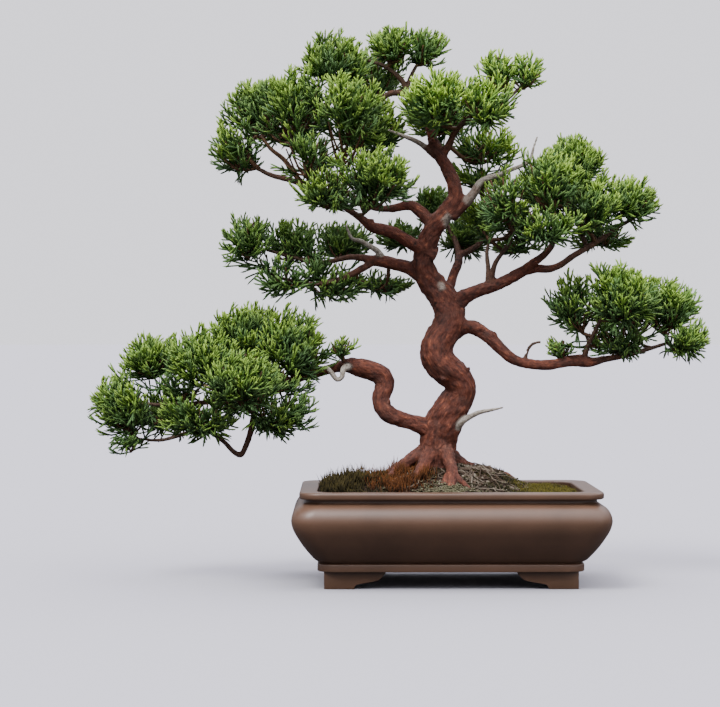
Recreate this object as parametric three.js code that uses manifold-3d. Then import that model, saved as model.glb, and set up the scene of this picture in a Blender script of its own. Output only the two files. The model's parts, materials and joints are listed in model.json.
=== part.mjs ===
// A juniper bonsai standing in its unglazed, rounded rectangular pot.
// Millimetres, +Z up. While it is built, X = 0 and Y = 0 are the middle of the pot; at the end the
// whole model is moved so that its origin is the bottom centre of its own box.
import * as THREE from "three";
import { mergeVertices } from "three/addons/utils/BufferGeometryUtils.js";
import Module from "manifold-3d";

const wasm = await Module();
wasm.setup();

// Driving dimensions of the pot
const BELLY_HALF_LENGTH = 120;
const BELLY_HALF_WIDTH = 81.5;
const LENGTH_OVER_WIDTH = BELLY_HALF_LENGTH - BELLY_HALF_WIDTH;
const BELLY_CORNER = 14;
const CORNER_TIGHTENING = 0.25;
const CORNER_STEPS = 4;
const FOOT_HEIGHT = 13;
const FOOT_THICKNESS = 11;
const FOOT_LENGTH = 48;
const FOOT_WIDTH = 36;
const SOLE_SHARE = 0.46;
const FOOT_SUNK = 0.5;
const FOOT_OUTER_HALF_LENGTH = 95.5;
const FOOT_OUTER_HALF_WIDTH = FOOT_OUTER_HALF_LENGTH - LENGTH_OVER_WIDTH;
const FLOOR_HEIGHT = 21;
const DRAIN_RADIUS = 9;
const DRAIN_OFFSET = 52;

// Half lengths of the pot against height: up the outside over the lip, then down the inside
const OUTER_PROFILE = [
  [100.5, 13], [100.5, 18.5], [98, 19.5], [102.3, 21.5], [109.5, 30], [114.5, 37.5], [118.5, 45],
  [120, 52], [118.5, 57.5], [115.5, 61.5], [109.5, 65], [109, 67.5], [113.5, 67.9], [114, 69],
  [114, 72], [113, 73],
];
const INNER_PROFILE = [[101, 73], [100, 72], [101, 66], [109, 54], [104, 36], [93, 24], [88, FLOOR_HEIGHT]];

// Driving dimensions of what the pot holds
const SEAT_GAP = 0.35;
const SCREEN_SIZE = 30;
const SCREEN_THICKNESS = 1.2;
const SCREEN_HOLE = 9;
const SCREEN_PITCH = 12;
const SOIL_EDGE_HEIGHT = 67.5;
const SOIL_EDGE_HALF_LENGTH = 100.6;
const SOIL_RINGS = [0.8, 0.6, 0.4, 0.2];
const MOUND_HEIGHT = 22;
const MOUND_REACH = 30;
const MOSS_MOUND_HEIGHT = 9;
const MOSS_MOUND = [-72, -22, 24];
const ROOT_SHOULDER_HEIGHT = 9;
const ROOT_SHOULDER = [38, 10, 17];

// Driving dimensions of the tree. A limb is a list of points [x, y, z, radius].
const FLUTE_DEPTH = 0.07;
const FLUTE_TWIST = 0.35;
const BEND_SMOOTHING = 0.35;
const WOOD_CLEARANCE = 0.4;
const LIMBS = {
  trunk: {
    sides: 10, fluted: true, points: [
      [-8, 5, 52, 14], [-9, 4, 68, 20], [-9, 4, 80, 18.5], [-9, 4, 92, 15.6], [-8, 3, 103, 14.3],
      [-6, 2, 113, 14.5], [-1, 0, 126, 14.2], [6, -2, 138, 12.6], [10, -4, 148, 11.6],
      [6, -6, 157, 11.6], [-2, -8, 164, 12], [-9, -8, 172, 12.4], [-9, -6, 183, 12.1],
      [-3, -2, 193, 11.7], [1, 2, 204, 11.8], [-2, 6, 215, 11.4], [-9, 8, 225, 10.5],
      [-16, 8, 235, 9.3], [-19, 6, 245, 8.5], [-18, 4, 256, 8.1], [-14, 2, 266, 7.9],
      [-9, 0, 275, 7.9], [-3, -2, 283, 7], [3, -4, 290, 6.3], [6, -5, 298, 5.8], [4, -5, 308, 5.2],
      [-1, -4, 319, 5], [-7, -2, 330, 4.9], [-12, 0, 340, 4.4],
    ],
  },
  low_left: {
    sides: 8, fluted: true, carries: true, points: [
      [-10, 2, 114, 8], [-21, -2, 120, 6.8], [-30, -4, 123, 6], [-39, -6, 126, 6.2],
      [-47, -8, 130, 6.5], [-52, -7, 137, 6.2], [-51, -5, 145, 6.8], [-49, -3, 152, 7.6],
      [-52, -3, 159, 7.7], [-60, -3, 163, 7.4], [-68, -3, 165, 7.2], [-76, -2, 167, 6],
      [-83, 0, 166, 4.3], [-91, 2, 164, 3.6], [-102, 2, 161, 3.3], [-115, 0, 157, 3.1],
      [-130, -2, 152, 3.1], [-144, -4, 148, 3],
    ],
  },
  low_left_drop: {
    sides: 5, carries: true, points: [
      [-142, -4, 149, 2.9], [-148, -8, 135, 2.8], [-152, -10, 117, 2.4], [-156, -10, 105, 2.2],
      [-160, -10, 98, 2.2], [-166, -10, 101, 1.9], [-174, -10, 109, 1.7], [-188, -8, 117, 1.7],
      [-203, -6, 114, 1.6], [-222, -3, 109, 1.3], [-240, -2, 110, 1],
    ],
  },
  low_left_tip: {
    sides: 5, carries: true, points: [
      [-142, -4, 148, 2.8], [-161, -2, 145, 2.6], [-188, 1, 138, 2.1], [-214, 2, 136, 1.7],
      [-240, -1, 137, 1.2],
    ],
  },
  low_left_back: {
    sides: 5, carries: true, points: [
      [-101, 2, 161, 2.7], [-115, 25, 169, 2.4], [-135, 40, 176, 2], [-155, 45, 178, 1.6],
      [-176, 43, 176, 1.3],
    ],
  },
  low_left_top: {
    sides: 5, carries: true, points: [
      [-128, -2, 153, 2.7], [-138, -6, 164, 2.2], [-152, -11, 173, 1.8], [-172, -14, 175, 1.5],
      [-199, -8, 172, 1.3], [-222, 4, 170, 1],
    ],
  },
  left_middle: {
    sides: 7, carries: true, points: [
      [-14, 6, 232, 7.5], [-24, 8, 239, 5.9], [-32, 10, 243, 5], [-40, 12, 245, 4.8],
      [-48, 14, 247, 4.8], [-56, 16, 248, 4.2], [-64, 17, 250, 2.9], [-76, 20, 251, 2.3],
      [-90, 24, 248, 2], [-104, 26, 247, 1.8], [-120, 28, 251, 1.5], [-138, 28, 256, 1.2],
      [-152, 27, 260, 1],
    ],
  },
  left_middle_low: {
    sides: 5, carries: true, points: [
      [-57, 16, 248, 3.1], [-66, 14, 242, 2.7], [-80, 12, 235, 2.4], [-93, 14, 231, 2],
      [-108, 16, 230, 1.7], [-124, 18, 233, 1.4], [-137, 19, 237, 1.2],
    ],
  },
  left_upper: {
    sides: 7, carries: true, points: [
      [-11, 4, 252, 7], [-23, 0, 258, 5.2], [-32, -4, 263, 4.7], [-41, -8, 268, 4.5],
      [-50, -12, 271, 4.5], [-59, -16, 273, 4], [-67, -19, 279, 2.9], [-76, -20, 285, 2.4],
      [-88, -18, 293, 2.3], [-101, -14, 299, 2.3], [-118, -9, 308, 2.2], [-136, -6, 313, 1.9],
      [-148, -4, 319, 1.5],
    ],
  },
  left_top: {
    sides: 6, carries: true, points: [
      [-7, 0, 270, 6], [-16, 2, 280, 4.9], [-23, 5, 287, 4.4], [-30, 9, 291, 3.8],
      [-42, 14, 289, 3], [-54, 18, 289, 2.5], [-65, 20, 293, 2.3], [-77, 22, 301, 2.2],
      [-89, 22, 312, 2], [-99, 20, 323, 1.9], [-110, 16, 334, 1.7], [-123, 10, 342, 1.4],
      [-135, 5, 348, 1.1],
    ],
  },
  top_left: {
    sides: 6, carries: true, points: [
      [-11, 0, 334, 4.3], [-14, 5, 350, 3.4], [-21, 8, 365, 3], [-28, 8, 374, 2.7],
      [-37, 8, 378, 2.5], [-46, 8, 377, 2.2], [-52, 8, 371, 1.9], [-57, 9, 362, 1.6],
    ],
  },
  top_up: {
    sides: 5, carries: true, points: [
      [-31, 8, 375, 2.3], [-34, 8, 385, 2], [-40, 8, 392, 1.8], [-50, 8, 399, 1.5],
      [-65, 7, 404, 1.2],
    ],
  },
  top_back: {
    sides: 5, carries: true, points: [
      [-32, 8, 379, 2], [-29, 10, 390, 1.6], [-24, 11, 400, 1.2],
    ],
  },
  top_right: {
    sides: 6, carries: true, points: [
      [-6, -3, 327, 3.8], [0, -4, 336, 2.9], [4, -7, 345, 2.4], [11, -10, 353, 2.2],
      [21, -12, 361, 2], [33, -10, 368, 1.8], [45, -5, 372, 1.5], [54, 2, 380, 1.2],
    ],
  },
  right_back: {
    sides: 6, carries: true, points: [
      [-3, 8, 219, 5.5], [2, 14, 229, 3.9], [5, 20, 237, 3.5], [9, 28, 246, 3.3],
      [11, 35, 253, 3], [17, 40, 256, 2.5], [26, 46, 262, 2.1], [32, 52, 273, 1.8],
      [35, 56, 286, 1.4],
    ],
  },
  right_back_up: {
    sides: 5, carries: true, points: [
      [10, 33, 251, 2.7], [9, 43, 261, 2.3], [5, 53, 272, 1.9], [-1, 63, 283, 1.4],
    ],
  },
  right_main: {
    sides: 7, fluted: true, carries: true, points: [
      [2, 4, 212, 8], [13, 2, 220, 5.8], [22, 0, 224, 5], [31, -2, 227, 4.8], [40, -4, 230, 4.6],
      [48, -6, 234, 4.4], [57, -8, 239, 4.1], [67, -8, 241, 3.4], [77, -8, 241, 2.9],
      [86, -8, 244, 2.6], [96, -8, 251, 2.3], [108, -6, 258, 2.2], [119, -4, 265, 2],
      [130, -2, 273, 1.7], [143, 0, 280, 1.3],
    ],
  },
  right_main_upper: {
    sides: 6, carries: true, points: [
      [55, -8, 238, 3.3], [64, -12, 245, 3.1], [71, -15, 250, 2.8], [78, -19, 258, 2.3],
      [81, -22, 268, 1.7], [78, -24, 280, 1.3],
    ],
  },
  twig_inner: {
    sides: 5, carries: true, points: [
      [31, -2, 230, 2.6], [31, -1, 242, 1.9], [30, 1, 253, 1.5], [32, 4, 264, 1.1],
    ],
  },
  twig_outer: {
    sides: 5, carries: true, points: [
      [33, -4, 230, 2.6], [35, -8, 243, 1.9], [40, -11, 252, 1.7], [46, -13, 260, 1.4],
      [49, -16, 270, 1.1],
    ],
  },
  right_high: {
    sides: 5, carries: true, points: [
      [107, -6, 257, 2], [104, 5, 268, 1.7], [101, 13, 280, 1.5], [96, 16, 296, 1.1],
    ],
  },
  right_low: {
    sides: 7, fluted: true, carries: true, points: [
      [4, 2, 193, 7], [14, 0, 197, 5.6], [22, -3, 195, 5.3], [28, -6, 191, 5.1], [34, -9, 186, 4.9],
      [40, -11, 180, 4.5], [46, -12, 174, 4.1], [53, -12, 170, 3.9], [62, -12, 168, 3.8],
      [72, -11, 167, 3.8], [83, -10, 168, 4], [94, -9, 170, 4.3], [102, -8, 170, 4.7],
      [110, -7, 169, 3.8], [118, -6, 171, 2.8], [130, -5, 173, 2.3], [143, -4, 176, 1.9],
      [157, -2, 180, 1.6], [170, 0, 184, 1.2],
    ],
  },
  right_low_curl: {
    sides: 5, points: [
      [58, -12, 168, 1.8], [60, -12, 177, 1.2], [64, -12, 183, 1.1], [71, -13, 185, 0.8],
    ],
  },
  right_low_up: {
    sides: 5, carries: true, points: [
      [104, -8, 170, 2.4], [106, -10, 179, 2], [110, -14, 189, 1.7], [116, -18, 202, 1.3],
    ],
  },
  dead_low_right: {
    sides: 6, points: [
      [0, -4, 117, 5], [9, -10, 123, 3.1], [17, -13, 128, 2.1], [24, -16, 131, 1.7],
      [33, -20, 133, 1.2], [41, -25, 135, 0.6],
    ],
  },
  dead_left: {
    sides: 5, points: [
      [-49, 15, 248, 2.8], [-54, 14, 255, 2.3], [-60, 13, 259, 2], [-67, 12, 263, 1.7],
      [-74, 11, 265, 1.4], [-77, 10, 270, 1.1], [-79, 9, 276, 0.6],
    ],
  },
  dead_top: {
    sides: 5, points: [
      [-9, -1, 328, 3.2], [-19, -3, 336, 2.3], [-26, -5, 340, 1.9], [-34, -7, 343, 1.5],
      [-47, -9, 348, 0.7],
    ],
  },
  dead_right: {
    sides: 6, points: [
      [2, -4, 282, 5], [12, -6, 291, 4], [19, -8, 299, 3.5], [24, -10, 307, 2.7],
      [31, -12, 311, 2.2], [39, -13, 313, 2], [48, -14, 317, 1.6], [61, -14, 323, 1.4],
      [65, -13, 334, 0.9], [68, -12, 343, 0.6],
    ],
  },
  dead_knot: {
    sides: 6, points: [
      [-76, -6, 166, 3], [-81, -11, 164, 2.4], [-82, -13, 158, 1.8], [-86, -13, 156, 1.7],
      [-90, -12, 161, 1.9], [-94, -10, 166, 1.4],
    ],
  },
  root_front_right: {
    sides: 6, points: [
      [-3, -4, 104, 6.5], [0, -17, 94, 4.8], [2, -28, 86, 4], [1, -38, 78, 3.6], [-1, -47, 68, 3],
    ],
  },
  root_front_left: {
    sides: 6, points: [
      [-13, -4, 100, 7.5], [-20, -16, 89, 5], [-27, -28, 79, 4], [-34, -40, 66, 3],
    ],
  },
  root_left: {
    sides: 6, points: [
      [-14, 2, 102, 8], [-27, -4, 95, 5.2], [-38, -8, 88, 4.2], [-50, -10, 80, 3.8],
      [-63, -12, 68, 3],
    ],
  },
  root_right: {
    sides: 6, points: [
      [-2, 4, 99, 8], [10, 8, 90, 5.3], [21, 10, 85, 4.4], [33, 12, 82, 4.2], [46, 12, 79, 4],
      [60, 12, 67, 3],
    ],
  },
  root_back: {
    sides: 6, points: [
      [-7, 10, 99, 8], [-11, 26, 88, 5.1], [-16, 40, 77, 4], [-22, 53, 64, 3],
    ],
  },
};

// Foliage: each leafy branchlet fills an egg-shaped space, given by its centre and its radii
const BRANCHLETS = {
  low_left: [
    [[-250, 0, 134], [26, 28, 29]], [[-245, -6, 109], [18, 20, 18]], [[-230, 12, 168], [26, 28, 24]],
    [[-189, -18, 166], [32, 30, 29]], [[-154, 16, 184], [33, 32, 31]], [[-119, -4, 175], [27, 31, 33]],
    [[-189, -28, 129], [30, 27, 24]], [[-132, -26, 132], [28, 27, 26]], [[-155, -52, 154], [30, 22, 24]],
    [[-161, 56, 156], [34, 26, 27]], [[-222, 30, 128], [29, 26, 21]], [[-82, -8, 182], [13, 12, 10]],
  ],
  left_middle: [
    [[-156, 28, 262], [23, 25, 26]], [[-122, 42, 261], [25, 23, 21]], [[-127, 16, 232], [29, 25, 18]],
    [[-91, 26, 228], [27, 26, 17]], [[-48, 30, 228], [24, 22, 12]], [[-82, 52, 267], [24, 22, 15]],
  ],
  upper_left: [
    [[-164, 2, 333], [21, 25, 26]], [[-148, 8, 365], [25, 27, 25]], [[-113, -20, 364], [31, 29, 31]],
    [[-87, 0, 398], [28, 28, 27]], [[-76, -42, 358], [30, 26, 29]], [[-108, -34, 329], [29, 27, 24]],
    [[-122, 44, 362], [33, 28, 31]], [[-58, 44, 394], [30, 28, 27]], [[-57, 14, 348], [26, 27, 26]],
    [[-91, -48, 299], [27, 27, 21]], [[-57, -62, 307], [29, 27, 25]],
  ],
  top: [
    [[-42, 8, 415], [23, 25, 17]], [[-17, 12, 412], [21, 23, 20]],
  ],
  crown_right: [
    [[-9, -26, 368], [29, 27, 25]], [[25, -22, 364], [27, 27, 25]], [[40, 0, 392], [19, 22, 19]],
    [[61, 6, 393], [17, 19, 17]], [[31, 28, 337], [27, 25, 21]], [[-3, 40, 362], [27, 26, 25]],
  ],
  right: [
    [[42, -28, 295], [25, 28, 29]], [[73, -26, 305], [28, 29, 29]], [[99, 4, 324], [22, 25, 23]],
    [[107, -12, 288], [29, 29, 25]], [[141, 0, 293], [23, 25, 21]], [[72, -40, 273], [27, 24, 19]],
    [[121, 16, 267], [25, 25, 13]], [[87, 42, 305], [31, 27, 27]],
  ],
  right_low: [
    [[97, -6, 211], [23, 27, 26]], [[130, -26, 218], [29, 27, 27]], [[135, 4, 189], [31, 29, 19]],
    [[169, 6, 210], [26, 29, 26]], [[182, -10, 186], [19, 23, 19]], [[147, 38, 210], [31, 26, 25]],
  ],
  back: [
    [[-36, 58, 269], [21, 21, 15]], [[-9, 72, 297], [16, 20, 16]], [[17, 66, 269], [23, 23, 21]],
  ],
};
const RANDOM_SEED = 7;
const STEM_RADIUS = 1.4;
const TWIG_RADIUS = 1.1;
const TWIG_REACH = 0.97;
const TWIG_SHARE = 24;
const WHORLS = [0.4, 0.84];
const WHORL_LENGTH = 2;
const TWIG_ROOT = 2.5;
const TWIG_PITCH = 4;
const NEEDLE_RADIUS = 0.8;
const NEEDLE_LENGTH = [12, 18];
const NEEDLE_LEAN = 0.85;
const FOLIAGE_CLEARANCE = 0.5;
const TRIES = 40;
const SEATS_TRIED = 12;
const DRAWS = 12;
const GOLDEN_ANGLE = Math.PI * (3 - Math.sqrt(5));

// Materials
const finish = (color, roughness) => new THREE.MeshStandardMaterial({ color, roughness, metalness: 0 });
const FIRED_CLAY = () => finish(0x6e503e, 0.5);
const PLASTIC_MESH = () => finish(0x1e1e1c, 0.6);
const DARK_SOIL = () => finish(0x4a3b28, 0.95);
const BARK = () => finish(0x82462f, 0.8);
const JUNIPER_GREEN = () => finish(0x46782a, 0.7);

// Solids and meshes. Slivers shorter than this are taken out of the joined solids.
const SHORTEST_EDGE = 0.04;
const SAME_PLACE = 0.004;
const THINNEST_FACE = 0.008;

function solidOf(geometry) {
  const bare = geometry.index ? geometry.clone() : geometry;
  bare.deleteAttribute("normal");
  bare.deleteAttribute("uv");
  const merged = mergeVertices(bare, 1e-4);
  return new wasm.Manifold(new wasm.Mesh({
    numProp: 3,
    vertProperties: Float32Array.from(merged.attributes.position.array),
    triVerts: Uint32Array.from(merged.index.array),
  }));
}

function geometryOf(solid) {
  const mesh = solid.simplify(SHORTEST_EDGE).getMesh();
  const geometry = new THREE.BufferGeometry();
  geometry.setAttribute("position", new THREE.BufferAttribute(mesh.vertProperties, 3));
  geometry.setIndex(new THREE.BufferAttribute(mesh.triVerts, 1));
  geometry.computeVertexNormals();
  return geometry;
}

// Whether no two corners of a solid lie in one place, as they do where its surface touches itself,
// and no face is a mere sliver
function isSound(solid) {
  const { vertProperties, numVert, triVerts } = solid.simplify(SHORTEST_EDGE).getMesh();
  const corners = Array.from({ length: numVert }, (_, k) => (
    new THREE.Vector3().fromArray(vertProperties, 3 * k)
  ));
  const places = new Set(corners.map((corner) => (
    corner.toArray().map((value) => Math.round(value / SAME_PLACE)).join()
  )));
  if (places.size < numVert) return false;
  for (let k = 0; k < triVerts.length; k += 3) {
    const face = new THREE.Triangle(...Array.from(triVerts.slice(k, k + 3), (n) => corners[n]));
    const edges = [face.a.distanceTo(face.b), face.b.distanceTo(face.c), face.c.distanceTo(face.a)];
    if (2 * face.getArea() / Math.max(...edges) < THINNEST_FACE) return false;
  }
  return true;
}

const join = (solids) => solids.reduce((whole, piece) => whole.add(piece));

// The largest of the bodies that a cut leaves; the loose scraps are dropped
function largestBody(solid) {
  const bodies = solid.decompose();
  return bodies.reduce((best, body) => (body.volume() > best.volume() ? body : best));
}

function loft(rings, start, end) {
  const points = [...rings.flat(), start, end];
  const count = rings[0].length;
  const triangles = [];
  for (let level = 0; level < rings.length - 1; level += 1) {
    for (let k = 0; k < count; k += 1) {
      const a = level * count + k;
      const b = level * count + ((k + 1) % count);
      triangles.push(a, b, b + count, a, b + count, a + count);
    }
  }
  const top = (rings.length - 1) * count;
  for (let k = 0; k < count; k += 1) {
    const next = (k + 1) % count;
    triangles.push(points.length - 2, next, k, points.length - 1, top + k, top + next);
  }
  const geometry = new THREE.BufferGeometry().setFromPoints(points);
  geometry.setIndex(triangles);
  return geometry;
}

// A rounded rectangle seen from above, with extra points along its straight sides
function roundedRing(halfLength, z, alongLength = 0, alongWidth = 0) {
  const halfWidth = halfLength - LENGTH_OVER_WIDTH;
  const corner = BELLY_CORNER - CORNER_TIGHTENING * (BELLY_HALF_LENGTH - halfLength);
  const ring = [];
  [[1, 1], [-1, 1], [-1, -1], [1, -1]].forEach(([right, back], quarter) => {
    for (let k = 0; k <= CORNER_STEPS; k += 1) {
      const angle = (quarter + k / CORNER_STEPS) * Math.PI / 2;
      const x = right * (halfLength - corner) + corner * Math.cos(angle);
      const y = back * (halfWidth - corner) + corner * Math.sin(angle);
      ring.push(new THREE.Vector3(x, y, z));
    }
  });
  const extra = [alongLength, alongWidth, alongLength, alongWidth];
  const perCorner = CORNER_STEPS + 1;
  return ring.flatMap((point, k) => {
    if (k % perCorner !== CORNER_STEPS) return [point];
    const following = ring[(k + 1) % ring.length];
    const steps = extra[Math.floor(k / perCorner)] + 1;
    return Array.from({ length: steps }, (_, n) => point.clone().lerp(following, n / steps));
  });
}

// The pot. A foot is a corner of two scroll-edged sides, sunk a little into the pot's underside.
function footSide(length, right) {
  const outline = new THREE.Shape();
  outline.moveTo(0, 0);
  const at = (share) => right * length * share;
  outline.lineTo(at(SOLE_SHARE), 0);
  outline.lineTo(at(0.5), 0.23 * FOOT_HEIGHT);
  const [low, high] = [0.38 * FOOT_HEIGHT, 0.58 * FOOT_HEIGHT];
  outline.bezierCurveTo(at(0.62), low, at(0.82), low, at(0.88), high);
  outline.lineTo(at(1), FOOT_HEIGHT + FOOT_SUNK);
  outline.lineTo(0, FOOT_HEIGHT + FOOT_SUNK);
  const options = { depth: FOOT_THICKNESS, bevelEnabled: false, curveSegments: 3 };
  return new THREE.ExtrudeGeometry(outline, options);
}

function foot(right, back) {
  const front = footSide(FOOT_LENGTH, -right);
  front.rotateX(Math.PI / 2);
  front.translate(0, back > 0 ? 0 : FOOT_THICKNESS, 0);
  const side = footSide(FOOT_WIDTH, back);
  side.rotateX(Math.PI / 2);
  side.rotateZ(-Math.PI / 2);
  side.translate(right > 0 ? 0 : FOOT_THICKNESS, 0, 0);
  const corner = solidOf(front).add(solidOf(side));
  return corner.translate([right * FOOT_OUTER_HALF_LENGTH, back * FOOT_OUTER_HALF_WIDTH, 0]);
}

function makePot() {
  const rings = [...OUTER_PROFILE, ...INNER_PROFILE].map(([half, z]) => roundedRing(half, z));
  const under = new THREE.Vector3(0, 0, FOOT_HEIGHT);
  const floor = new THREE.Vector3(0, 0, FLOOR_HEIGHT);
  let pot = solidOf(loft(rings, under, floor));
  for (const right of [1, -1]) {
    for (const back of [1, -1]) pot = pot.add(foot(right, back));
    const drain = new THREE.CylinderGeometry(DRAIN_RADIUS, DRAIN_RADIUS, 3 * FOOT_HEIGHT, 16);
    drain.rotateX(Math.PI / 2);
    drain.translate(right * DRAIN_OFFSET, 0, FLOOR_HEIGHT);
    pot = pot.subtract(solidOf(drain));
  }
  return pot;
}

// A square of plastic mesh over each drain hole
function makeScreen(right) {
  const plate = new THREE.BoxGeometry(SCREEN_SIZE, SCREEN_SIZE, SCREEN_THICKNESS);
  let screen = solidOf(plate);
  for (const column of [-0.5, 0.5]) {
    for (const row of [-0.5, 0.5]) {
      const hole = new THREE.BoxGeometry(SCREEN_HOLE, SCREEN_HOLE, 3 * SCREEN_THICKNESS);
      hole.translate(column * SCREEN_PITCH, row * SCREEN_PITCH, 0);
      screen = screen.subtract(solidOf(hole));
    }
  }
  const height = FLOOR_HEIGHT + SEAT_GAP + SCREEN_THICKNESS / 2;
  return screen.translate([right * DRAIN_OFFSET, 0, height]);
}

// The wood: roots, trunk, living limbs and bleached dead ends, grown as one piece
function ringsAlong({ points, sides, fluted }, grow) {
  const places = points.map(([x, y, z]) => new THREE.Vector3(x, y, z));
  const at = (k) => places[Math.min(Math.max(k, 0), places.length - 1)];
  const across = new THREE.Vector3(0, 1, 0);
  return points.map(([, , , radius], k) => {
    const along = at(k + 1).clone().sub(at(k - 1));
    along.addScaledVector(at(k + 2).clone().sub(at(k - 2)), BEND_SMOOTHING).normalize();
    across.addScaledVector(along, -across.dot(along)).normalize();
    const upward = along.clone().cross(across);
    return Array.from({ length: sides }, (_, side) => {
      const angle = side * 2 * Math.PI / sides;
      const flute = fluted ? 1 + FLUTE_DEPTH * Math.sin(3 * angle + FLUTE_TWIST * k) : 1;
      const reach = radius * flute + grow;
      return places[k].clone()
        .addScaledVector(across, reach * Math.cos(angle))
        .addScaledVector(upward, reach * Math.sin(angle));
    });
  });
}

function limbSolid(limb, grow = 0) {
  const rings = ringsAlong(limb, grow);
  const [first, second] = limb.points;
  const [last, beforeLast] = [limb.points.at(-1), limb.points.at(-2)];
  const capPast = ([x, y, z, radius], [nearX, nearY, nearZ]) => {
    const outward = new THREE.Vector3(x - nearX, y - nearY, z - nearZ).normalize();
    return new THREE.Vector3(x, y, z).addScaledVector(outward, 0.6 * radius + grow);
  };
  return solidOf(loft(rings, capPast(first, second), capPast(last, beforeLast)));
}

const makeWood = (grow) => join(Object.values(LIMBS).map((limb) => limbSolid(limb, grow)));

// The soil, mounded up to the roots, with a plain hole where the roots and trunk go in
const mound = (x, y, [middleX, middleY, reach]) => (
  Math.exp(-((x - middleX) ** 2 + (y - middleY) ** 2) / (2 * reach ** 2))
);

function soilHeight(x, y) {
  const trunkFoot = LIMBS.trunk.points[1];
  return SOIL_EDGE_HEIGHT
    + MOUND_HEIGHT * mound(x, y, [trunkFoot[0], trunkFoot[1], MOUND_REACH])
    + MOSS_MOUND_HEIGHT * mound(x, y, MOSS_MOUND)
    + ROOT_SHOULDER_HEIGHT * mound(x, y, ROOT_SHOULDER);
}

function makeSoil(fatWood) {
  const levels = [...INNER_PROFILE].reverse().filter(([, z]) => z < SOIL_EDGE_HEIGHT);
  const rings = levels.map(([half, z]) => roundedRing(half - SEAT_GAP, z, 3, 1));
  rings[0].forEach((point) => point.setZ(FLOOR_HEIGHT + SEAT_GAP));
  const rim = roundedRing(SOIL_EDGE_HALF_LENGTH - SEAT_GAP, SOIL_EDGE_HEIGHT, 3, 1);
  rings.push(rim);
  for (const share of SOIL_RINGS) {
    rings.push(rim.map((point) => {
      const [x, y] = [point.x * share, point.y * share];
      return new THREE.Vector3(x, y, soilHeight(x, y));
    }));
  }
  const under = new THREE.Vector3(0, 0, FLOOR_HEIGHT + SEAT_GAP);
  const crest = new THREE.Vector3(0, 0, soilHeight(0, 0));
  let soil = solidOf(loft(rings, under, crest));
  for (const right of [1, -1]) {
    const side = SCREEN_SIZE + 2 * SEAT_GAP;
    const pocket = new THREE.BoxGeometry(side, side, 2 * (SCREEN_THICKNESS + 2 * SEAT_GAP));
    pocket.translate(right * DRAIN_OFFSET, 0, FLOOR_HEIGHT);
    soil = soil.subtract(solidOf(pocket));
  }
  return largestBody(soil.subtract(fatWood));
}

// The foliage. A branchlet is a slim stem from a limb and twigs from the stem's head. Each twig
// ends in a needle and bears whorls of three, raised from its own faces. All of it is kept clear
// of the wood and of the other branchlets.
let randomState = RANDOM_SEED;
function random(low = 0, high = 1) {
  randomState = (randomState * 1664525 + 1013904223) % 4294967296;
  return low + (high - low) * randomState / 4294967296;
}

const vector = (x, y, z) => new THREE.Vector3(x, y, z);
const limbBars = Object.values(LIMBS).flatMap((limb) => limb.points.slice(1).map((b, k) => {
  const a = limb.points[k];
  return {
    line: new THREE.Line3(vector(...a.slice(0, 3)), vector(...b.slice(0, 3))),
    radius: Math.max(a[3], b[3]) * (limb.fluted ? 1 + FLUTE_DEPTH : 1),
    carries: Boolean(limb.carries) && k > 0,
  };
}));
const leafBars = [];

// Whether a bar keeps its distance from the wood and from every bar outside its own family
function isClear({ line, radius, family }, freeLength = 0) {
  const length = line.distance();
  const steps = Math.ceil(length / 3);
  const probe = new THREE.Vector3();
  const near = new THREE.Vector3();
  const touches = (bar) => {
    bar.line.closestPointToPoint(probe, true, near);
    return near.distanceTo(probe) < bar.radius + radius + FOLIAGE_CLEARANCE;
  };
  for (let k = 0; k <= steps; k += 1) {
    line.at(k / steps, probe);
    if (leafBars.some((bar) => !family.includes(bar.name) && touches(bar))) return false;
    if (k * length / steps >= freeLength && limbBars.some(touches)) return false;
  }
  return true;
}

// Tries a few ends for a bar that starts at one place, and keeps the first that is clear
function reach(start, radius, name, family, propose, freeLength = 0) {
  for (let attempt = 0; attempt < TRIES; attempt += 1) {
    const end = propose(attempt / TRIES);
    const bar = { line: new THREE.Line3(start.clone(), end), radius, name, family };
    if (isClear(bar, freeLength)) {
      leafBars.push(bar);
      return end;
    }
  }
  return null;
}

// The places on the limbs that may carry a stem, with the nearest first
function seatsNear(place) {
  const seats = limbBars.filter((bar) => bar.carries).map((bar) => {
    const seat = bar.line.closestPointToPoint(place, true, new THREE.Vector3());
    return { seat, radius: bar.radius, distance: seat.distanceTo(place) };
  });
  return seats.sort((one, other) => one.distance - other.distance).slice(0, SEATS_TRIED);
}

function triangleRing(place, along, radius, turn) {
  const across = vector(0.36, 0.48, 0.8).cross(along).normalize();
  const upward = along.clone().cross(across);
  return [0, 1, 2].map((side) => {
    const angle = turn + side * 2 * Math.PI / 3;
    return place.clone()
      .addScaledVector(across, radius * Math.cos(angle))
      .addScaledVector(upward, radius * Math.sin(angle));
  });
}

function stemSolid(start, end) {
  const along = end.clone().sub(start).normalize();
  const rings = [triangleRing(start, along, STEM_RADIUS, 0), triangleRing(end, along, TWIG_RADIUS, 0)];
  return solidOf(loft(rings, start.clone(), end.clone().addScaledVector(along, TWIG_RADIUS)));
}

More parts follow.
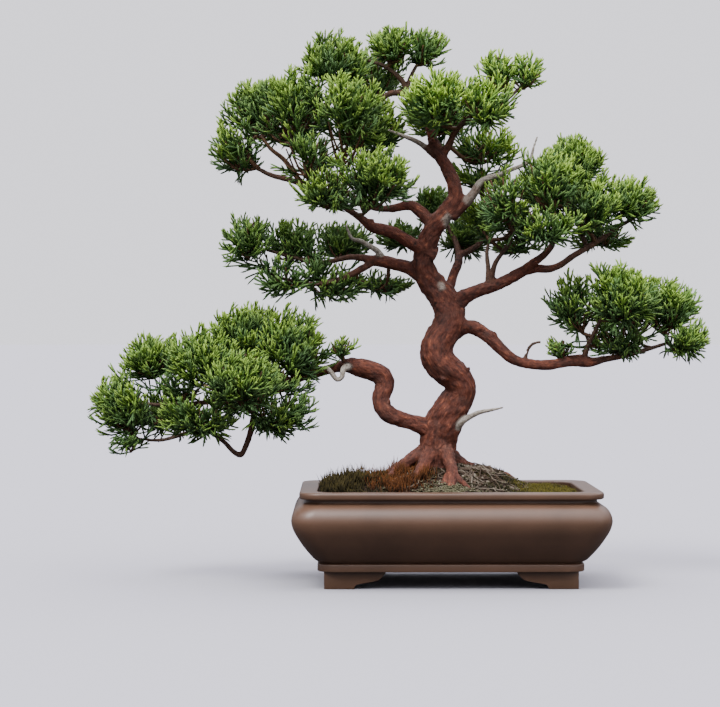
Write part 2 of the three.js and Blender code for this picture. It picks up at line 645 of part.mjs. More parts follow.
function twigSolid(start, tip, name, family) {
  const length = Math.max(start.distanceTo(tip) - NEEDLE_LENGTH[0], start.distanceTo(tip) / 2);
  const rootLength = Math.min(TWIG_ROOT, 0.3 * length);
  const whorlLength = Math.min(WHORL_LENGTH, 0.3 * length);
  const along = tip.clone().sub(start).normalize();
  const turn = random(0, 2 * Math.PI);
  const walked = (distance) => start.clone().addScaledVector(along, distance);
  const whorls = WHORLS.flatMap((share) => [share * length, share * length + whorlLength]);
  const distances = [rootLength, ...whorls];
  const points = distances.flatMap((distance) => triangleRing(walked(distance), along, TWIG_RADIUS, turn));
  points.push(start.clone());
  const triangles = [0, 1, 2].flatMap((side) => [(side + 1) % 3, side, points.length - 1]);
  distances.slice(1).forEach((_, level) => {
    for (let side = 0; side < 3; side += 1) {
      const a = level * 3 + side;
      const b = level * 3 + ((side + 1) % 3);
      const corners = [a, b, b + 3, a + 3];
      const root = corners.reduce((sum, k) => sum.add(points[k]), vector(0, 0, 0)).multiplyScalar(0.25);
      const outward = root.clone().sub(walked((distances[level] + distances[level + 1]) / 2)).normalize();
      const needleTip = level % 2 && reach(root, NEEDLE_RADIUS, name, family, (share) => {
        const aim = outward.clone().addScaledVector(along, NEEDLE_LEAN + 0.5 * share);
        aim.add(vector(random(-0.3, 0.3), random(-0.3, 0.3), random(-0.1, 0.5))).normalize();
        return root.clone().addScaledVector(aim, random(...NEEDLE_LENGTH) * (1 - 0.4 * share));
      });
      if (needleTip) {
        points.push(needleTip);
        corners.forEach((corner, k) => triangles.push(corner, corners[(k + 1) % 4], points.length - 1));
      } else {
        triangles.push(a, b, b + 3, a, b + 3, a + 3);
      }
    }
  });
  points.push(tip.clone());
  const top = 3 * (distances.length - 1);
  for (let side = 0; side < 3; side += 1) {
    triangles.push(top + side, top + ((side + 1) % 3), points.length - 1);
  }
  const geometry = new THREE.BufferGeometry().setFromPoints(points);
  geometry.setIndex(triangles);
  return solidOf(geometry);
}

function placeStem(name, centre, radii) {
  const head = vector(...centre).add(vector(0, 0, -0.3 * radii[2]));
  for (const { seat, radius } of seatsNear(head)) {
    const freeLength = radius + STEM_RADIUS + 2 * FOLIAGE_CLEARANCE;
    const end = reach(seat, STEM_RADIUS, `${name} stem`, [], (share) => (
      head.clone().add(vector(random(-1, 1), random(-1, 1), random(-1, 1)).multiplyScalar(20 * share))
    ), freeLength);
    if (end) return { name, centre, radii, seat, end };
  }
  throw new Error(`${name} finds no way to a limb`);
}

function makeBranchlet({ name, centre, radii, seat, end }, fatWood) {
  const pieces = [stemSolid(seat, end)];
  const twigs = Math.max(3, Math.round((radii[0] + radii[1] + radii[2]) / TWIG_SHARE));
  const twigNames = Array.from({ length: twigs }, (_, k) => `${name} twig ${k}`);
  const firstTurn = random(0, 2 * Math.PI);
  twigNames.forEach((twigName, k) => {
    const height = 0.85 - 1.2 * (k + 0.5) / twigs;
    const flat = Math.sqrt(1 - height * height);
    const twigStart = end.clone().lerp(seat, Math.min(k * TWIG_PITCH / seat.distanceTo(end), 0.6));
    const twigEnd = reach(twigStart, TWIG_RADIUS, twigName, [`${name} stem`, ...twigNames], (share) => {
      const angle = firstTurn + k * GOLDEN_ANGLE + random(-1, 1) * 2 * share;
      return vector(...centre).add(vector(
        radii[0] * flat * Math.cos(angle), radii[1] * flat * Math.sin(angle), radii[2] * height,
      ).multiplyScalar(TWIG_REACH * (1 - 0.3 * share)));
    });
    if (twigEnd) pieces.push(twigSolid(twigStart, twigEnd, twigName, [`${name} stem`, twigName]));
  });
  return largestBody(join(pieces).subtract(fatWood));
}

// The whole plant, each piece a named mesh
const bonsai = new THREE.Group();
function place(name, solid, material) {
  const mesh = new THREE.Mesh(geometryOf(solid), material);
  mesh.name = name;
  bonsai.add(mesh);
}

const fatWood = makeWood(WOOD_CLEARANCE);
place("pot", makePot(), FIRED_CLAY());
place("drain_screen_left", makeScreen(-1), PLASTIC_MESH());
place("drain_screen_right", makeScreen(1), PLASTIC_MESH());
place("soil", makeSoil(fatWood), DARK_SOIL());
place("wood", makeWood(0), BARK());
const stems = Object.entries(BRANCHLETS).flatMap(([pad, lobes]) => (
  lobes.map(([centre, radii], k) => placeStem(`foliage_${pad}_${k + 1}`, centre, radii))
));
stems.forEach((stem) => {
  const kept = leafBars.length;
  let branchlet = makeBranchlet(stem, fatWood);
  for (let draw = 1; draw < DRAWS && !isSound(branchlet); draw += 1) {
    leafBars.length = kept;
    branchlet = makeBranchlet(stem, fatWood);
  }
  place(stem.name, branchlet, JUNIPER_GREEN());
});

const middle = new THREE.Box3().setFromObject(bonsai, true).getCenter(new THREE.Vector3());
bonsai.position.set(-middle.x, -middle.y, 0);

export default bonsai;
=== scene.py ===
"""A juniper bonsai in its unglazed pot: the looks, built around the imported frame.

Lengths are in millimetres in the pot's own frame, whose origin is under the pot's middle.
at() and places() turn them into metres in the row's frame.
"""

import json
import math
from functools import partial

import bpy
import numpy as np
from mathutils import Matrix, Vector, noise

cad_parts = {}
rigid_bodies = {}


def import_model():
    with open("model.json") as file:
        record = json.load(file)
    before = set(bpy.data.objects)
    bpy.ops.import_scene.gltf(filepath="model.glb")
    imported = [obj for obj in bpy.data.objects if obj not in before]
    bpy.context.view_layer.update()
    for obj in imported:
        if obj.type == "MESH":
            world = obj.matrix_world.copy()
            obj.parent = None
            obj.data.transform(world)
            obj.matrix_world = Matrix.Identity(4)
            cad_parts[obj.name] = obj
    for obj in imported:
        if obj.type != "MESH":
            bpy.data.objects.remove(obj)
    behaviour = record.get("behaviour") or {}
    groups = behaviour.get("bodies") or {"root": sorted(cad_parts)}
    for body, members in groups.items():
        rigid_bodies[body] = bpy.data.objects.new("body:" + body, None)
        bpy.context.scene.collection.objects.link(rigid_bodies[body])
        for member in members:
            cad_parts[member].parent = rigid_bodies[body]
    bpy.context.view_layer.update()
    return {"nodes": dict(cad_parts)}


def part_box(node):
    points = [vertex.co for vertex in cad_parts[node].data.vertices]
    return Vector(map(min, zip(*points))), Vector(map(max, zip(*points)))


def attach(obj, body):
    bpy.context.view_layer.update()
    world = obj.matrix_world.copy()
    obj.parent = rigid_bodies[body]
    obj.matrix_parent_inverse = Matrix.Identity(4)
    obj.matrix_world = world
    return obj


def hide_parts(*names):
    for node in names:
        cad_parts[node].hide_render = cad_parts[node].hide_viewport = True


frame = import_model()

bl_info = {
    "name": "Juniper Bonsai",
    "version": (1, 0, 0),
    "blender": (4, 5, 0),
    "location": "View3D > Sidebar > Bonsai",
    "description": "Models a potted juniper bonsai with bark, deadwood, sprays of shoots and moss",
    "category": "Add Mesh",
}

MM = 0.001
POT_LOW, POT_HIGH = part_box("pot")
POT_MIDDLE = Vector(((POT_LOW.x + POT_HIGH.x) / 2, (POT_LOW.y + POT_HIGH.y) / 2, POT_LOW.z))

# The pot's outline: half lengths against height in millimetres. The half width is less by a constant.
LENGTH_OVER_WIDTH = 38.5
FOOT_BAND = [(100.5, 13), (100.5, 18.5)]
BELLY = [(98, 19.5), (102.3, 21.5), (109.5, 30), (114.5, 37.5), (118.5, 45), (120, 52), (118.5, 57.5),
         (115.5, 61.5), (109.5, 65)]
LIP = [(109, 67.5), (113.5, 67.9), (114, 69), (114, 72), (113, 73), (101, 73), (100, 72)]
INSIDE = [(101, 66), (109, 54), (104, 36), (93, 24), (88, 21)]
CORNER = 14
CORNER_SEGMENTS = 8
DRAIN_RADIUS = 9
DRAIN_OFFSET = 52
FOOT_HEIGHT = 13
FOOT_THICKNESS = 11
FOOT_SUNK = 0.5
FOOT_OUTER = 95.5
FOOT_LENGTH = 48
FOOT_WIDTH = 36
# What is cut from under a foot's arm: each point and its two handles as shares of its length and height
FOOT_SCROLL = [
    ((0.46, -0.5), (0.46, -0.5), (0.46, -0.5)), ((0.46, 0), (0.46, 0), (0.46, 0)),
    ((0.5, 0.23), (0.5, 0.23), (0.62, 0.38)), ((0.88, 0.58), (0.82, 0.38), (0.94, 0.78)),
    ((0.995, 1.3), (0.995, 1.05), (0.995, 1.3)), ((1.2, 1.3), (1.2, 1.3), (1.2, 1.3)),
    ((1.2, -0.5), (1.2, -0.5), (1.2, -0.5))]

# The ground inside the pot. A mound is its middle, its reach and its height in millimetres.
GROUND_EDGE = 67.5
GROUND_HALF = (99.4, 60.9)
GROUND_CORNER = 8.5
MOUNDS = [(-9, 4, 30, 22), (-72, -22, 24, 9), (38, 10, 17, 9)]
# An old root under the cover: its middle, its reach each way and its rise
OLD_ROOT = ((32, -6), (13, 6), 4.8)
# The trunk's middle on the ground
TRUNK_FOOT = (-9, 4)

# The tree. A limb is a list of points [x, y, z, radius] in millimetres.
LIMBS = {
    "trunk": [
        (-8, 5, 52, 14), (-9, 4, 68, 20), (-9, 4, 80, 18.5), (-9, 4, 92, 15.6), (-8, 3, 103, 14.3),
        (-6, 2, 113, 14.5), (-1, 0, 126, 14.2), (6, -2, 138, 12.6), (10, -4, 148, 11.6),
        (6, -6, 157, 11.6), (-2, -8, 164, 12), (-9, -8, 172, 12.4), (-9, -6, 183, 12.1),
        (-3, -2, 193, 11.7), (1, 2, 204, 11.8), (-2, 6, 215, 11.4), (-9, 8, 225, 10.5),
        (-16, 8, 235, 9.3), (-19, 6, 245, 8.5), (-18, 4, 256, 8.1), (-14, 2, 266, 7.9),
        (-9, 0, 275, 7.9), (-3, -2, 283, 7), (3, -4, 290, 6.3), (6, -5, 298, 5.8), (4, -5, 308, 5.2),
        (-1, -4, 319, 5), (-7, -2, 330, 4.9), (-12, 0, 340, 4.4)],
    "low_left": [
        (-10, 2, 114, 8), (-21, -2, 120, 6.8), (-30, -4, 123, 6), (-39, -6, 126, 6.2),
        (-47, -8, 130, 6.5), (-52, -7, 137, 6.2), (-51, -5, 145, 6.8), (-49, -3, 152, 7.6),
        (-52, -3, 159, 7.7), (-60, -3, 163, 7.4), (-68, -3, 165, 7.2), (-76, -2, 167, 6),
        (-83, 0, 166, 4.3), (-91, 2, 164, 3.6), (-102, 2, 161, 3.3), (-115, 0, 157, 3.1),
        (-130, -2, 152, 3.1), (-144, -4, 148, 3)],
    "low_left_drop": [
        (-142, -4, 149, 2.9), (-148, -8, 135, 2.8), (-152, -10, 117, 2.4), (-156, -10, 105, 2.2),
        (-160, -10, 98, 2.2), (-166, -10, 101, 1.9), (-174, -10, 109, 1.7), (-188, -8, 117, 1.7),
        (-203, -6, 114, 1.6), (-222, -3, 109, 1.3), (-240, -2, 110, 1)],
    "low_left_tip": [
        (-142, -4, 148, 2.8), (-161, -2, 145, 2.6), (-188, 1, 138, 2.1), (-214, 2, 136, 1.7),
        (-240, -1, 137, 1.2)],
    "low_left_back": [
        (-101, 2, 161, 2.7), (-115, 25, 169, 2.4), (-135, 40, 176, 2), (-155, 45, 178, 1.6),
        (-176, 43, 176, 1.3)],
    "low_left_top": [
        (-128, -2, 153, 2.7), (-138, -6, 164, 2.2), (-152, -11, 173, 1.8), (-172, -14, 175, 1.5),
        (-199, -8, 172, 1.3), (-222, 4, 170, 1)],
    "left_middle": [
        (-14, 6, 232, 7.5), (-24, 8, 239, 5.9), (-32, 10, 243, 5), (-40, 12, 245, 4.8),
        (-48, 14, 247, 4.8), (-56, 16, 248, 4.2), (-64, 17, 250, 2.9), (-76, 20, 251, 2.3),
        (-90, 24, 248, 2), (-104, 26, 247, 1.8), (-120, 28, 251, 1.5), (-138, 28, 256, 1.2),
        (-152, 27, 260, 1)],
    "left_middle_low": [
        (-57, 16, 248, 3.1), (-66, 14, 242, 2.7), (-80, 12, 235, 2.4), (-93, 14, 231, 2),
        (-108, 16, 230, 1.7), (-124, 18, 233, 1.4), (-137, 19, 237, 1.2)],
    "left_upper": [
        (-11, 4, 252, 7), (-23, 0, 258, 5.2), (-32, -4, 263, 4.7), (-41, -8, 268, 4.5),
        (-50, -12, 271, 4.5), (-59, -16, 273, 4), (-67, -19, 279, 2.9), (-76, -20, 285, 2.4),
        (-88, -18, 293, 2.3), (-101, -14, 299, 2.3), (-118, -9, 308, 2.2), (-136, -6, 313, 1.9),
        (-148, -4, 319, 1.5)],
    "left_top": [
        (-7, 0, 270, 6), (-16, 2, 280, 4.9), (-23, 5, 287, 4.4), (-30, 9, 291, 3.8),
        (-42, 14, 289, 3), (-54, 18, 289, 2.5), (-65, 20, 293, 2.3), (-77, 22, 301, 2.2),
        (-89, 22, 312, 2), (-99, 20, 323, 1.9), (-110, 16, 334, 1.7), (-123, 10, 342, 1.4),
        (-135, 5, 348, 1.1)],
    "top_left": [
        (-11, 0, 334, 4.3), (-14, 5, 350, 3.4), (-21, 8, 365, 3), (-28, 8, 374, 2.7),
        (-37, 8, 378, 2.5), (-46, 8, 377, 2.2), (-52, 8, 371, 1.9), (-57, 9, 362, 1.6)],
    "top_up": [
        (-31, 8, 375, 2.3), (-34, 8, 385, 2), (-40, 8, 392, 1.8), (-50, 8, 399, 1.5),
        (-65, 7, 404, 1.2)],
    "top_back": [(-32, 8, 379, 2), (-29, 10, 390, 1.6), (-24, 11, 400, 1.2)],
    "top_right": [
        (-6, -3, 327, 3.8), (0, -4, 336, 2.9), (4, -7, 345, 2.4), (11, -10, 353, 2.2),
        (21, -12, 361, 2), (33, -10, 368, 1.8), (45, -5, 372, 1.5), (54, 2, 380, 1.2)],
    "right_back": [
        (-3, 8, 219, 5.5), (2, 14, 229, 3.9), (5, 20, 237, 3.5), (9, 28, 246, 3.3),
        (11, 35, 253, 3), (17, 40, 256, 2.5), (26, 46, 262, 2.1), (32, 52, 273, 1.8),
        (35, 56, 286, 1.4)],
    "right_back_up": [(10, 33, 251, 2.7), (9, 43, 261, 2.3), (5, 53, 272, 1.9), (-1, 63, 283, 1.4)],
    "right_main": [
        (2, 4, 212, 8), (13, 2, 220, 5.8), (22, 0, 224, 5), (31, -2, 227, 4.8), (40, -4, 230, 4.6),
        (48, -6, 234, 4.4), (57, -8, 239, 4.1), (67, -8, 241, 3.4), (77, -8, 241, 2.9),
        (86, -8, 244, 2.6), (96, -8, 251, 2.3), (108, -6, 258, 2.2), (119, -4, 265, 2),
        (130, -2, 273, 1.7), (143, 0, 280, 1.3)],
    "right_main_upper": [
        (55, -8, 238, 3.3), (64, -12, 245, 3.1), (71, -15, 250, 2.8), (78, -19, 258, 2.3),
        (81, -22, 268, 1.7), (78, -24, 280, 1.3)],
    "twig_inner": [(31, -2, 230, 2.6), (31, -1, 242, 1.9), (30, 1, 253, 1.5), (32, 4, 264, 1.1)],
    "twig_outer": [
        (33, -4, 230, 2.6), (35, -8, 243, 1.9), (40, -11, 252, 1.7), (46, -13, 260, 1.4),
        (49, -16, 270, 1.1)],
    "right_high": [(107, -6, 257, 2), (104, 5, 268, 1.7), (101, 13, 280, 1.5), (96, 16, 296, 1.1)],
    "right_low": [
        (4, 2, 193, 7), (14, 0, 197, 5.6), (22, -3, 195, 5.3), (28, -6, 191, 5.1), (34, -9, 186, 4.9),
        (40, -11, 180, 4.5), (46, -12, 174, 4.1), (53, -12, 170, 3.9), (62, -12, 168, 3.8),
        (72, -11, 167, 3.8), (83, -10, 168, 4), (94, -9, 170, 4.3), (102, -8, 170, 4.7),
        (110, -7, 169, 3.8), (118, -6, 171, 2.8), (130, -5, 173, 2.3), (143, -4, 176, 1.9),
        (157, -2, 180, 1.6), (170, 0, 184, 1.2)],
    "right_low_curl": [(58, -12, 168, 1.8), (60, -12, 177, 1.2), (64, -12, 183, 1.1), (71, -13, 185, 0.8)],
    "right_low_up": [(104, -8, 170, 2.4), (106, -10, 179, 2), (110, -14, 189, 1.7), (116, -18, 202, 1.3)],
    "dead_low_right": [
        (0, -4, 117, 5), (9, -10, 123, 3.1), (17, -13, 128, 2.1), (24, -16, 131, 1.7),
        (33, -20, 133, 1.2), (41, -25, 135, 0.6)],
    "dead_left": [
        (-49, 15, 248, 2.8), (-54, 14, 255, 2.3), (-60, 13, 259, 2), (-67, 12, 263, 1.7),
        (-74, 11, 265, 1.4), (-77, 10, 270, 1.1), (-79, 9, 276, 0.6)],
    "dead_top": [
        (-9, -1, 328, 3.2), (-19, -3, 336, 2.3), (-26, -5, 340, 1.9), (-34, -7, 343, 1.5),
        (-47, -9, 348, 0.7)],
    "dead_right": [
        (2, -4, 282, 5), (12, -6, 291, 4), (19, -8, 299, 3.5), (24, -10, 307, 2.7),
        (31, -12, 311, 2.2), (39, -13, 313, 2), (48, -14, 317, 1.6), (61, -14, 323, 1.4),
        (65, -13, 334, 0.9), (68, -12, 343, 0.6)],
    "dead_knot": [
        (-76, -6, 166, 3), (-81, -11, 164, 2.4), (-82, -13, 158, 1.8), (-86, -13, 156, 1.7),
        (-90, -12, 161, 1.9), (-94, -10, 166, 1.4)],
    "root_front_right": [
        (-3, -4, 104, 6.5), (0, -17, 94, 4.8), (2, -28, 86, 4), (1, -38, 78, 3.6), (-1, -47, 68, 3)],
    "root_front_left": [(-13, -4, 100, 7.5), (-20, -16, 89, 5), (-27, -28, 79, 4), (-34, -40, 66, 3)],
    "root_left": [
        (-14, 2, 102, 8), (-27, -4, 95, 5.2), (-38, -8, 88, 4.2), (-50, -10, 80, 3.8), (-63, -12, 68, 3)],
    "root_right": [
        (-2, 4, 99, 8), (10, 8, 90, 5.3), (21, 10, 85, 4.4), (33, 12, 82, 4.2), (46, 12, 79, 4),
        (60, 12, 67, 3)],
    "root_back": [(-7, 10, 99, 8), (-11, 26, 88, 5.1), (-16, 40, 77, 4), (-22, 53, 64, 3)],
}
FLUTED = ("trunk", "low_left", "right_main", "right_low")
BARE = ("trunk", "right_low_curl", "dead", "root")
FLUTE_DEPTH = 0.07

# Foliage: each leafy branchlet fills an egg-shaped space, given by its centre and radii in millimetres
BRANCHLETS = {
    "low_left": [
        ((-250, 0, 134), (26, 28, 29)), ((-245, -6, 109), (18, 20, 18)), ((-230, 12, 168), (26, 28, 24)),
        ((-189, -18, 166), (32, 30, 29)), ((-154, 16, 184), (33, 32, 31)), ((-119, -4, 175), (27, 31, 33)),
        ((-189, -28, 129), (30, 27, 24)), ((-132, -26, 132), (28, 27, 26)), ((-155, -52, 154), (30, 22, 24)),
        ((-161, 56, 156), (34, 26, 27)), ((-222, 30, 128), (29, 26, 21)), ((-82, -8, 182), (13, 12, 10))],
    "left_middle": [
        ((-156, 28, 262), (23, 25, 26)), ((-122, 42, 261), (25, 23, 21)), ((-127, 16, 232), (29, 25, 18)),
        ((-91, 26, 228), (27, 26, 17)), ((-48, 30, 228), (24, 22, 12)), ((-82, 52, 267), (24, 22, 15))],
    "upper_left": [
        ((-164, 2, 333), (21, 25, 26)), ((-148, 8, 365), (25, 27, 25)), ((-113, -20, 364), (31, 29, 31)),
        ((-87, 0, 398), (28, 28, 27)), ((-76, -42, 358), (30, 26, 29)), ((-108, -34, 329), (29, 27, 24)),
        ((-122, 44, 362), (33, 28, 31)), ((-58, 44, 394), (30, 28, 27)), ((-57, 14, 348), (26, 27, 26)),
        ((-91, -48, 299), (27, 27, 21)), ((-57, -62, 307), (29, 27, 25))],
    "top": [((-42, 8, 415), (23, 25, 17)), ((-17, 12, 412), (21, 23, 20))],
    "crown_right": [
        ((-9, -26, 368), (29, 27, 25)), ((25, -22, 364), (27, 27, 25)), ((40, 0, 392), (19, 22, 19)),
        ((61, 6, 393), (17, 19, 17)), ((31, 28, 337), (27, 25, 21)), ((-3, 40, 362), (27, 26, 25))],
    "right": [
        ((42, -28, 295), (25, 28, 29)), ((73, -26, 305), (28, 29, 29)), ((99, 4, 324), (22, 25, 23)),
        ((107, -12, 288), (29, 29, 25)), ((141, 0, 293), (23, 25, 21)), ((72, -40, 273), (27, 24, 19)),
        ((121, 16, 267), (25, 25, 13)), ((87, 42, 305), (31, 27, 27))],
    "right_low": [
        ((97, -6, 211), (23, 27, 26)), ((130, -26, 218), (29, 27, 27)), ((135, 4, 189), (31, 29, 19)),
        ((169, 6, 210), (26, 29, 26)), ((182, -10, 186), (19, 23, 19)), ((147, 38, 210), (31, 26, 25))],
    "back": [((-36, 58, 269), (21, 21, 15)), ((-9, 72, 297), (16, 20, 16)), ((17, 66, 269), (23, 23, 21))],
}

# The photograph's frame and what its vanishing point, horizon and scale say of the camera
PHOTO_WIDTH, PHOTO_HEIGHT = 720, 707
FOCAL_PIXELS = 2215
VANISHING_X, HORIZON_Y = 346, 330
CAMERA_FROM_POT = (-79, -1713, 194)
SENSOR = 36
# The least length that anything is divided by, and the seeds of the random draws
TINY = 1e-6
SEEDS = {"moss": 41, "lichen": 12, "grit": 5, "rootlets": 77, "wood": 8, "foliage": 100}


def at(x, y, z):
    """A place in millimetres in the pot's frame, as metres in the row's frame."""
    return POT_MIDDLE + Vector((x, y, z)) * MM


def places(points):
    """The same for an array of places."""
    return np.asarray(points, float) * MM + np.array(POT_MIDDLE)


def linear(red, green, blue):
    """A colour read off a screen, as the linear colour that a shader takes."""
    def channel(value):
        value /= 255
        return value / 12.92 if value <= 0.04045 else ((value + 0.055) / 1.055) ** 2.4
    return (channel(red), channel(green), channel(blue), 1.0)


def unit(vector):
    return vector / max(np.linalg.norm(vector), TINY)


def unit_rows(vectors):
    return vectors / np.maximum(np.linalg.norm(vectors, axis=1), TINY)[:, None]


def turned(points, turn):
    """Points turned about the Z axis."""
    cosine, sine = math.cos(turn), math.sin(turn)
    x, y, z = points.T
    return np.column_stack([x * cosine - y * sine, x * sine + y * cosine, z])


def through(points, step):
    """Points on a smooth curve through the given ones, about a step apart, with their other values."""
    points = np.asarray(points, float)
    padded = np.vstack([2 * points[0] - points[1], points, 2 * points[-1] - points[-2]])
    found = []
    for a, b, c, d in zip(padded, padded[1:], padded[2:], padded[3:]):
        count = max(1, int(round(np.linalg.norm((c - b)[:3]) / step)))
        t = (np.arange(count) / count)[:, None]
        found.append(0.5 * (2 * b + (c - a) * t + (2 * a - 5 * b + 4 * c - d) * t ** 2
                            + (3 * b - a - 3 * c + d) * t ** 3))
    return np.vstack([*found, points[-1:]])


def frames_along(line):
    """Tangents and two directions across a line, carried along it without twist."""
    tangents = unit_rows(np.gradient(line, axis=0))
    across = np.array([1.0, 0, 0] if abs(tangents[0][1]) > 0.95 else [0, 1.0, 0])
    sideways = []
    for tangent in tangents:
        across = unit(across - tangent * (across @ tangent))
        sideways.append(across)
    return tangents, np.array(sideways), np.cross(tangents, sideways)


def sweep(line, radii, sides):
    """Vertices and faces of a closed round tube along a line."""
    tangents, across, upward = frames_along(line)
    angles = (np.arange(sides) * 2 * np.pi / sides)[:, None]
    ring = np.cos(angles) * across[:, None] + np.sin(angles) * upward[:, None]
    skin = (line[:, None] + ring * radii[:, None, None]).reshape(-1, 3)
    vertices = np.vstack([skin, line[0] - tangents[0] * radii[0] * 0.5, line[-1] + tangents[-1] * radii[-1]])
    faces = []
    for level in range(0, len(skin) - sides, sides):
        for side in range(sides):
            a, b = level + side, level + (side + 1) % sides
            faces.append((a, b, b + sides, a + sides))
    top, first, last = len(skin) - sides, len(skin), len(skin) + 1
    for side in range(sides):
        following = (side + 1) % sides
        faces += [(first, following, side), (last, top + side, top + following)]
    return vertices, faces


# Objects and meshes

def add_object(name, data):
    obj = bpy.data.objects.new(name, data)
    bpy.context.scene.collection.objects.link(obj)
    return obj


def only(obj):
    """Makes obj the one selected and active object."""
    for other in bpy.context.view_layer.objects:
        other.select_set(False)
    obj.select_set(True)
    bpy.context.view_layer.objects.active = obj


def start_editing(obj):
    """Opens a mesh, with all of it selected."""
    only(obj)
    bpy.ops.object.mode_set(mode="EDIT")
    bpy.ops.mesh.select_all(action="SELECT")


def extrude_up(rise):
    bpy.ops.mesh.extrude_region_move(TRANSFORM_OT_translate={"value": (0, 0, rise)})


def finish_editing():
    """Turns a closed mesh's faces outwards, and leaves edit mode."""
    bpy.ops.mesh.select_all(action="SELECT")
    bpy.ops.mesh.normals_make_consistent(inside=False)
    bpy.ops.object.mode_set(mode="OBJECT")


def make_outward(obj):
    """Turns a mesh's faces outwards, as after it was mirrored."""
    start_editing(obj)
    finish_editing()


def curve_mesh(curve):
    only(add_object(curve.name, curve))
    bpy.ops.object.convert(target="MESH")
    return bpy.context.object


def apply_modifier(obj, kind, **settings):
    only(obj)
    modifier = obj.modifiers.new(kind.title(), kind)
    for name, value in settings.items():
        setattr(modifier, name, value)
    bpy.ops.object.modifier_apply(modifier=modifier.name)


def round_edges(obj, width, segments, sharp):
    """Rounds the edges that turn by more than an angle in degrees."""
    apply_modifier(obj, "BEVEL", width=width * MM, segments=segments, limit_method="ANGLE",
                   angle_limit=math.radians(sharp))


def combine(obj, other, operation):
    """Adds another solid to obj, or cuts it out, and removes it."""
    apply_modifier(obj, "BOOLEAN", operation=operation, object=other, solver="EXACT")
    bpy.data.objects.remove(other)


def coordinates(obj):
    values = np.zeros(len(obj.data.vertices) * 3, np.float32)
    obj.data.vertices.foreach_get("co", values)
    return values.reshape(-1, 3).astype(float)


def set_coordinates(obj, values):
    obj.data.vertices.foreach_set("co", np.asarray(values, np.float32).ravel())
    obj.data.update()


def set_attribute(obj, name, values, kind="FLOAT_COLOR"):
    """Stores a colour or a vector for each vertex."""
    attribute = obj.data.attributes.new(name, kind, "POINT")
    field = "vector" if kind == "FLOAT_VECTOR" else "color"
    attribute.data.foreach_set(field, np.asarray(values, np.float32).ravel())


def finish_piece(obj, name, material, slot, *nodes):
    """Gives a piece its name, material and body, and hides the parts that it stands for."""
    obj.name = obj.data.name = name
    obj.data.materials.clear()
    obj.data.materials.append(material)
    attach(obj, "root")
    if nodes:
        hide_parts(*nodes)


class Gathered:
    """Meshes collected into one, with a colour for each vertex."""

    def __init__(self):
        self.vertices, self.faces, self.colours, self.count = [], [], [], 0

    def add(self, vertices, faces, colours):
        """Adds a mesh with an array of colours, or four channels: each one value, or one for each vertex."""
        if not isinstance(colours, np.ndarray):
            colours = np.column_stack([np.broadcast_to(channel, len(vertices)) for channel in colours])
        self.vertices.append(vertices)
        self.colours.append(colours)
        self.faces += [[corner + self.count for corner in face] for face in faces]
        self.count += len(vertices)

    def finish(self, name, material, slot, *nodes, smooth=True):
        mesh = bpy.data.meshes.new(name)
        mesh.from_pydata(places(np.vstack(self.vertices)).tolist(), [], self.faces)
        mesh.validate()
        mesh.polygons.foreach_set("use_smooth", [smooth] * len(mesh.polygons))
        mesh.update()
        obj = add_object(name, mesh)
        set_attribute(obj, "growth", np.vstack(self.colours))
        finish_piece(obj, name, material, slot, *nodes)


# Materials

class Nodes:
    """A node tree, with short ways to add nodes and join them."""

    def __init__(self, tree):
        self.tree = tree

    def link(self, source, target):
        """Joins a socket to another one, or gives it a constant."""
        if isinstance(source, bpy.types.NodeSocket):
            self.tree.links.new(source, target)
        else:
            target.default_value = source

    def node(self, kind, inputs=(), **settings):
        """A new node, with what goes into its inputs."""
        node = self.tree.nodes.new("ShaderNode" + kind)
        for name, value in settings.items():
            setattr(node, name, value)
        for name, source in dict(inputs).items():
            self.link(source, node.inputs[name])
        return node

    def times(self, one, other):
        return self.node("Math", {0: one, 1: other}, operation="MULTIPLY").outputs[0]

    def plus(self, one, other):
        return self.node("Math", {0: one, 1: other}, operation="ADD").outputs[0]


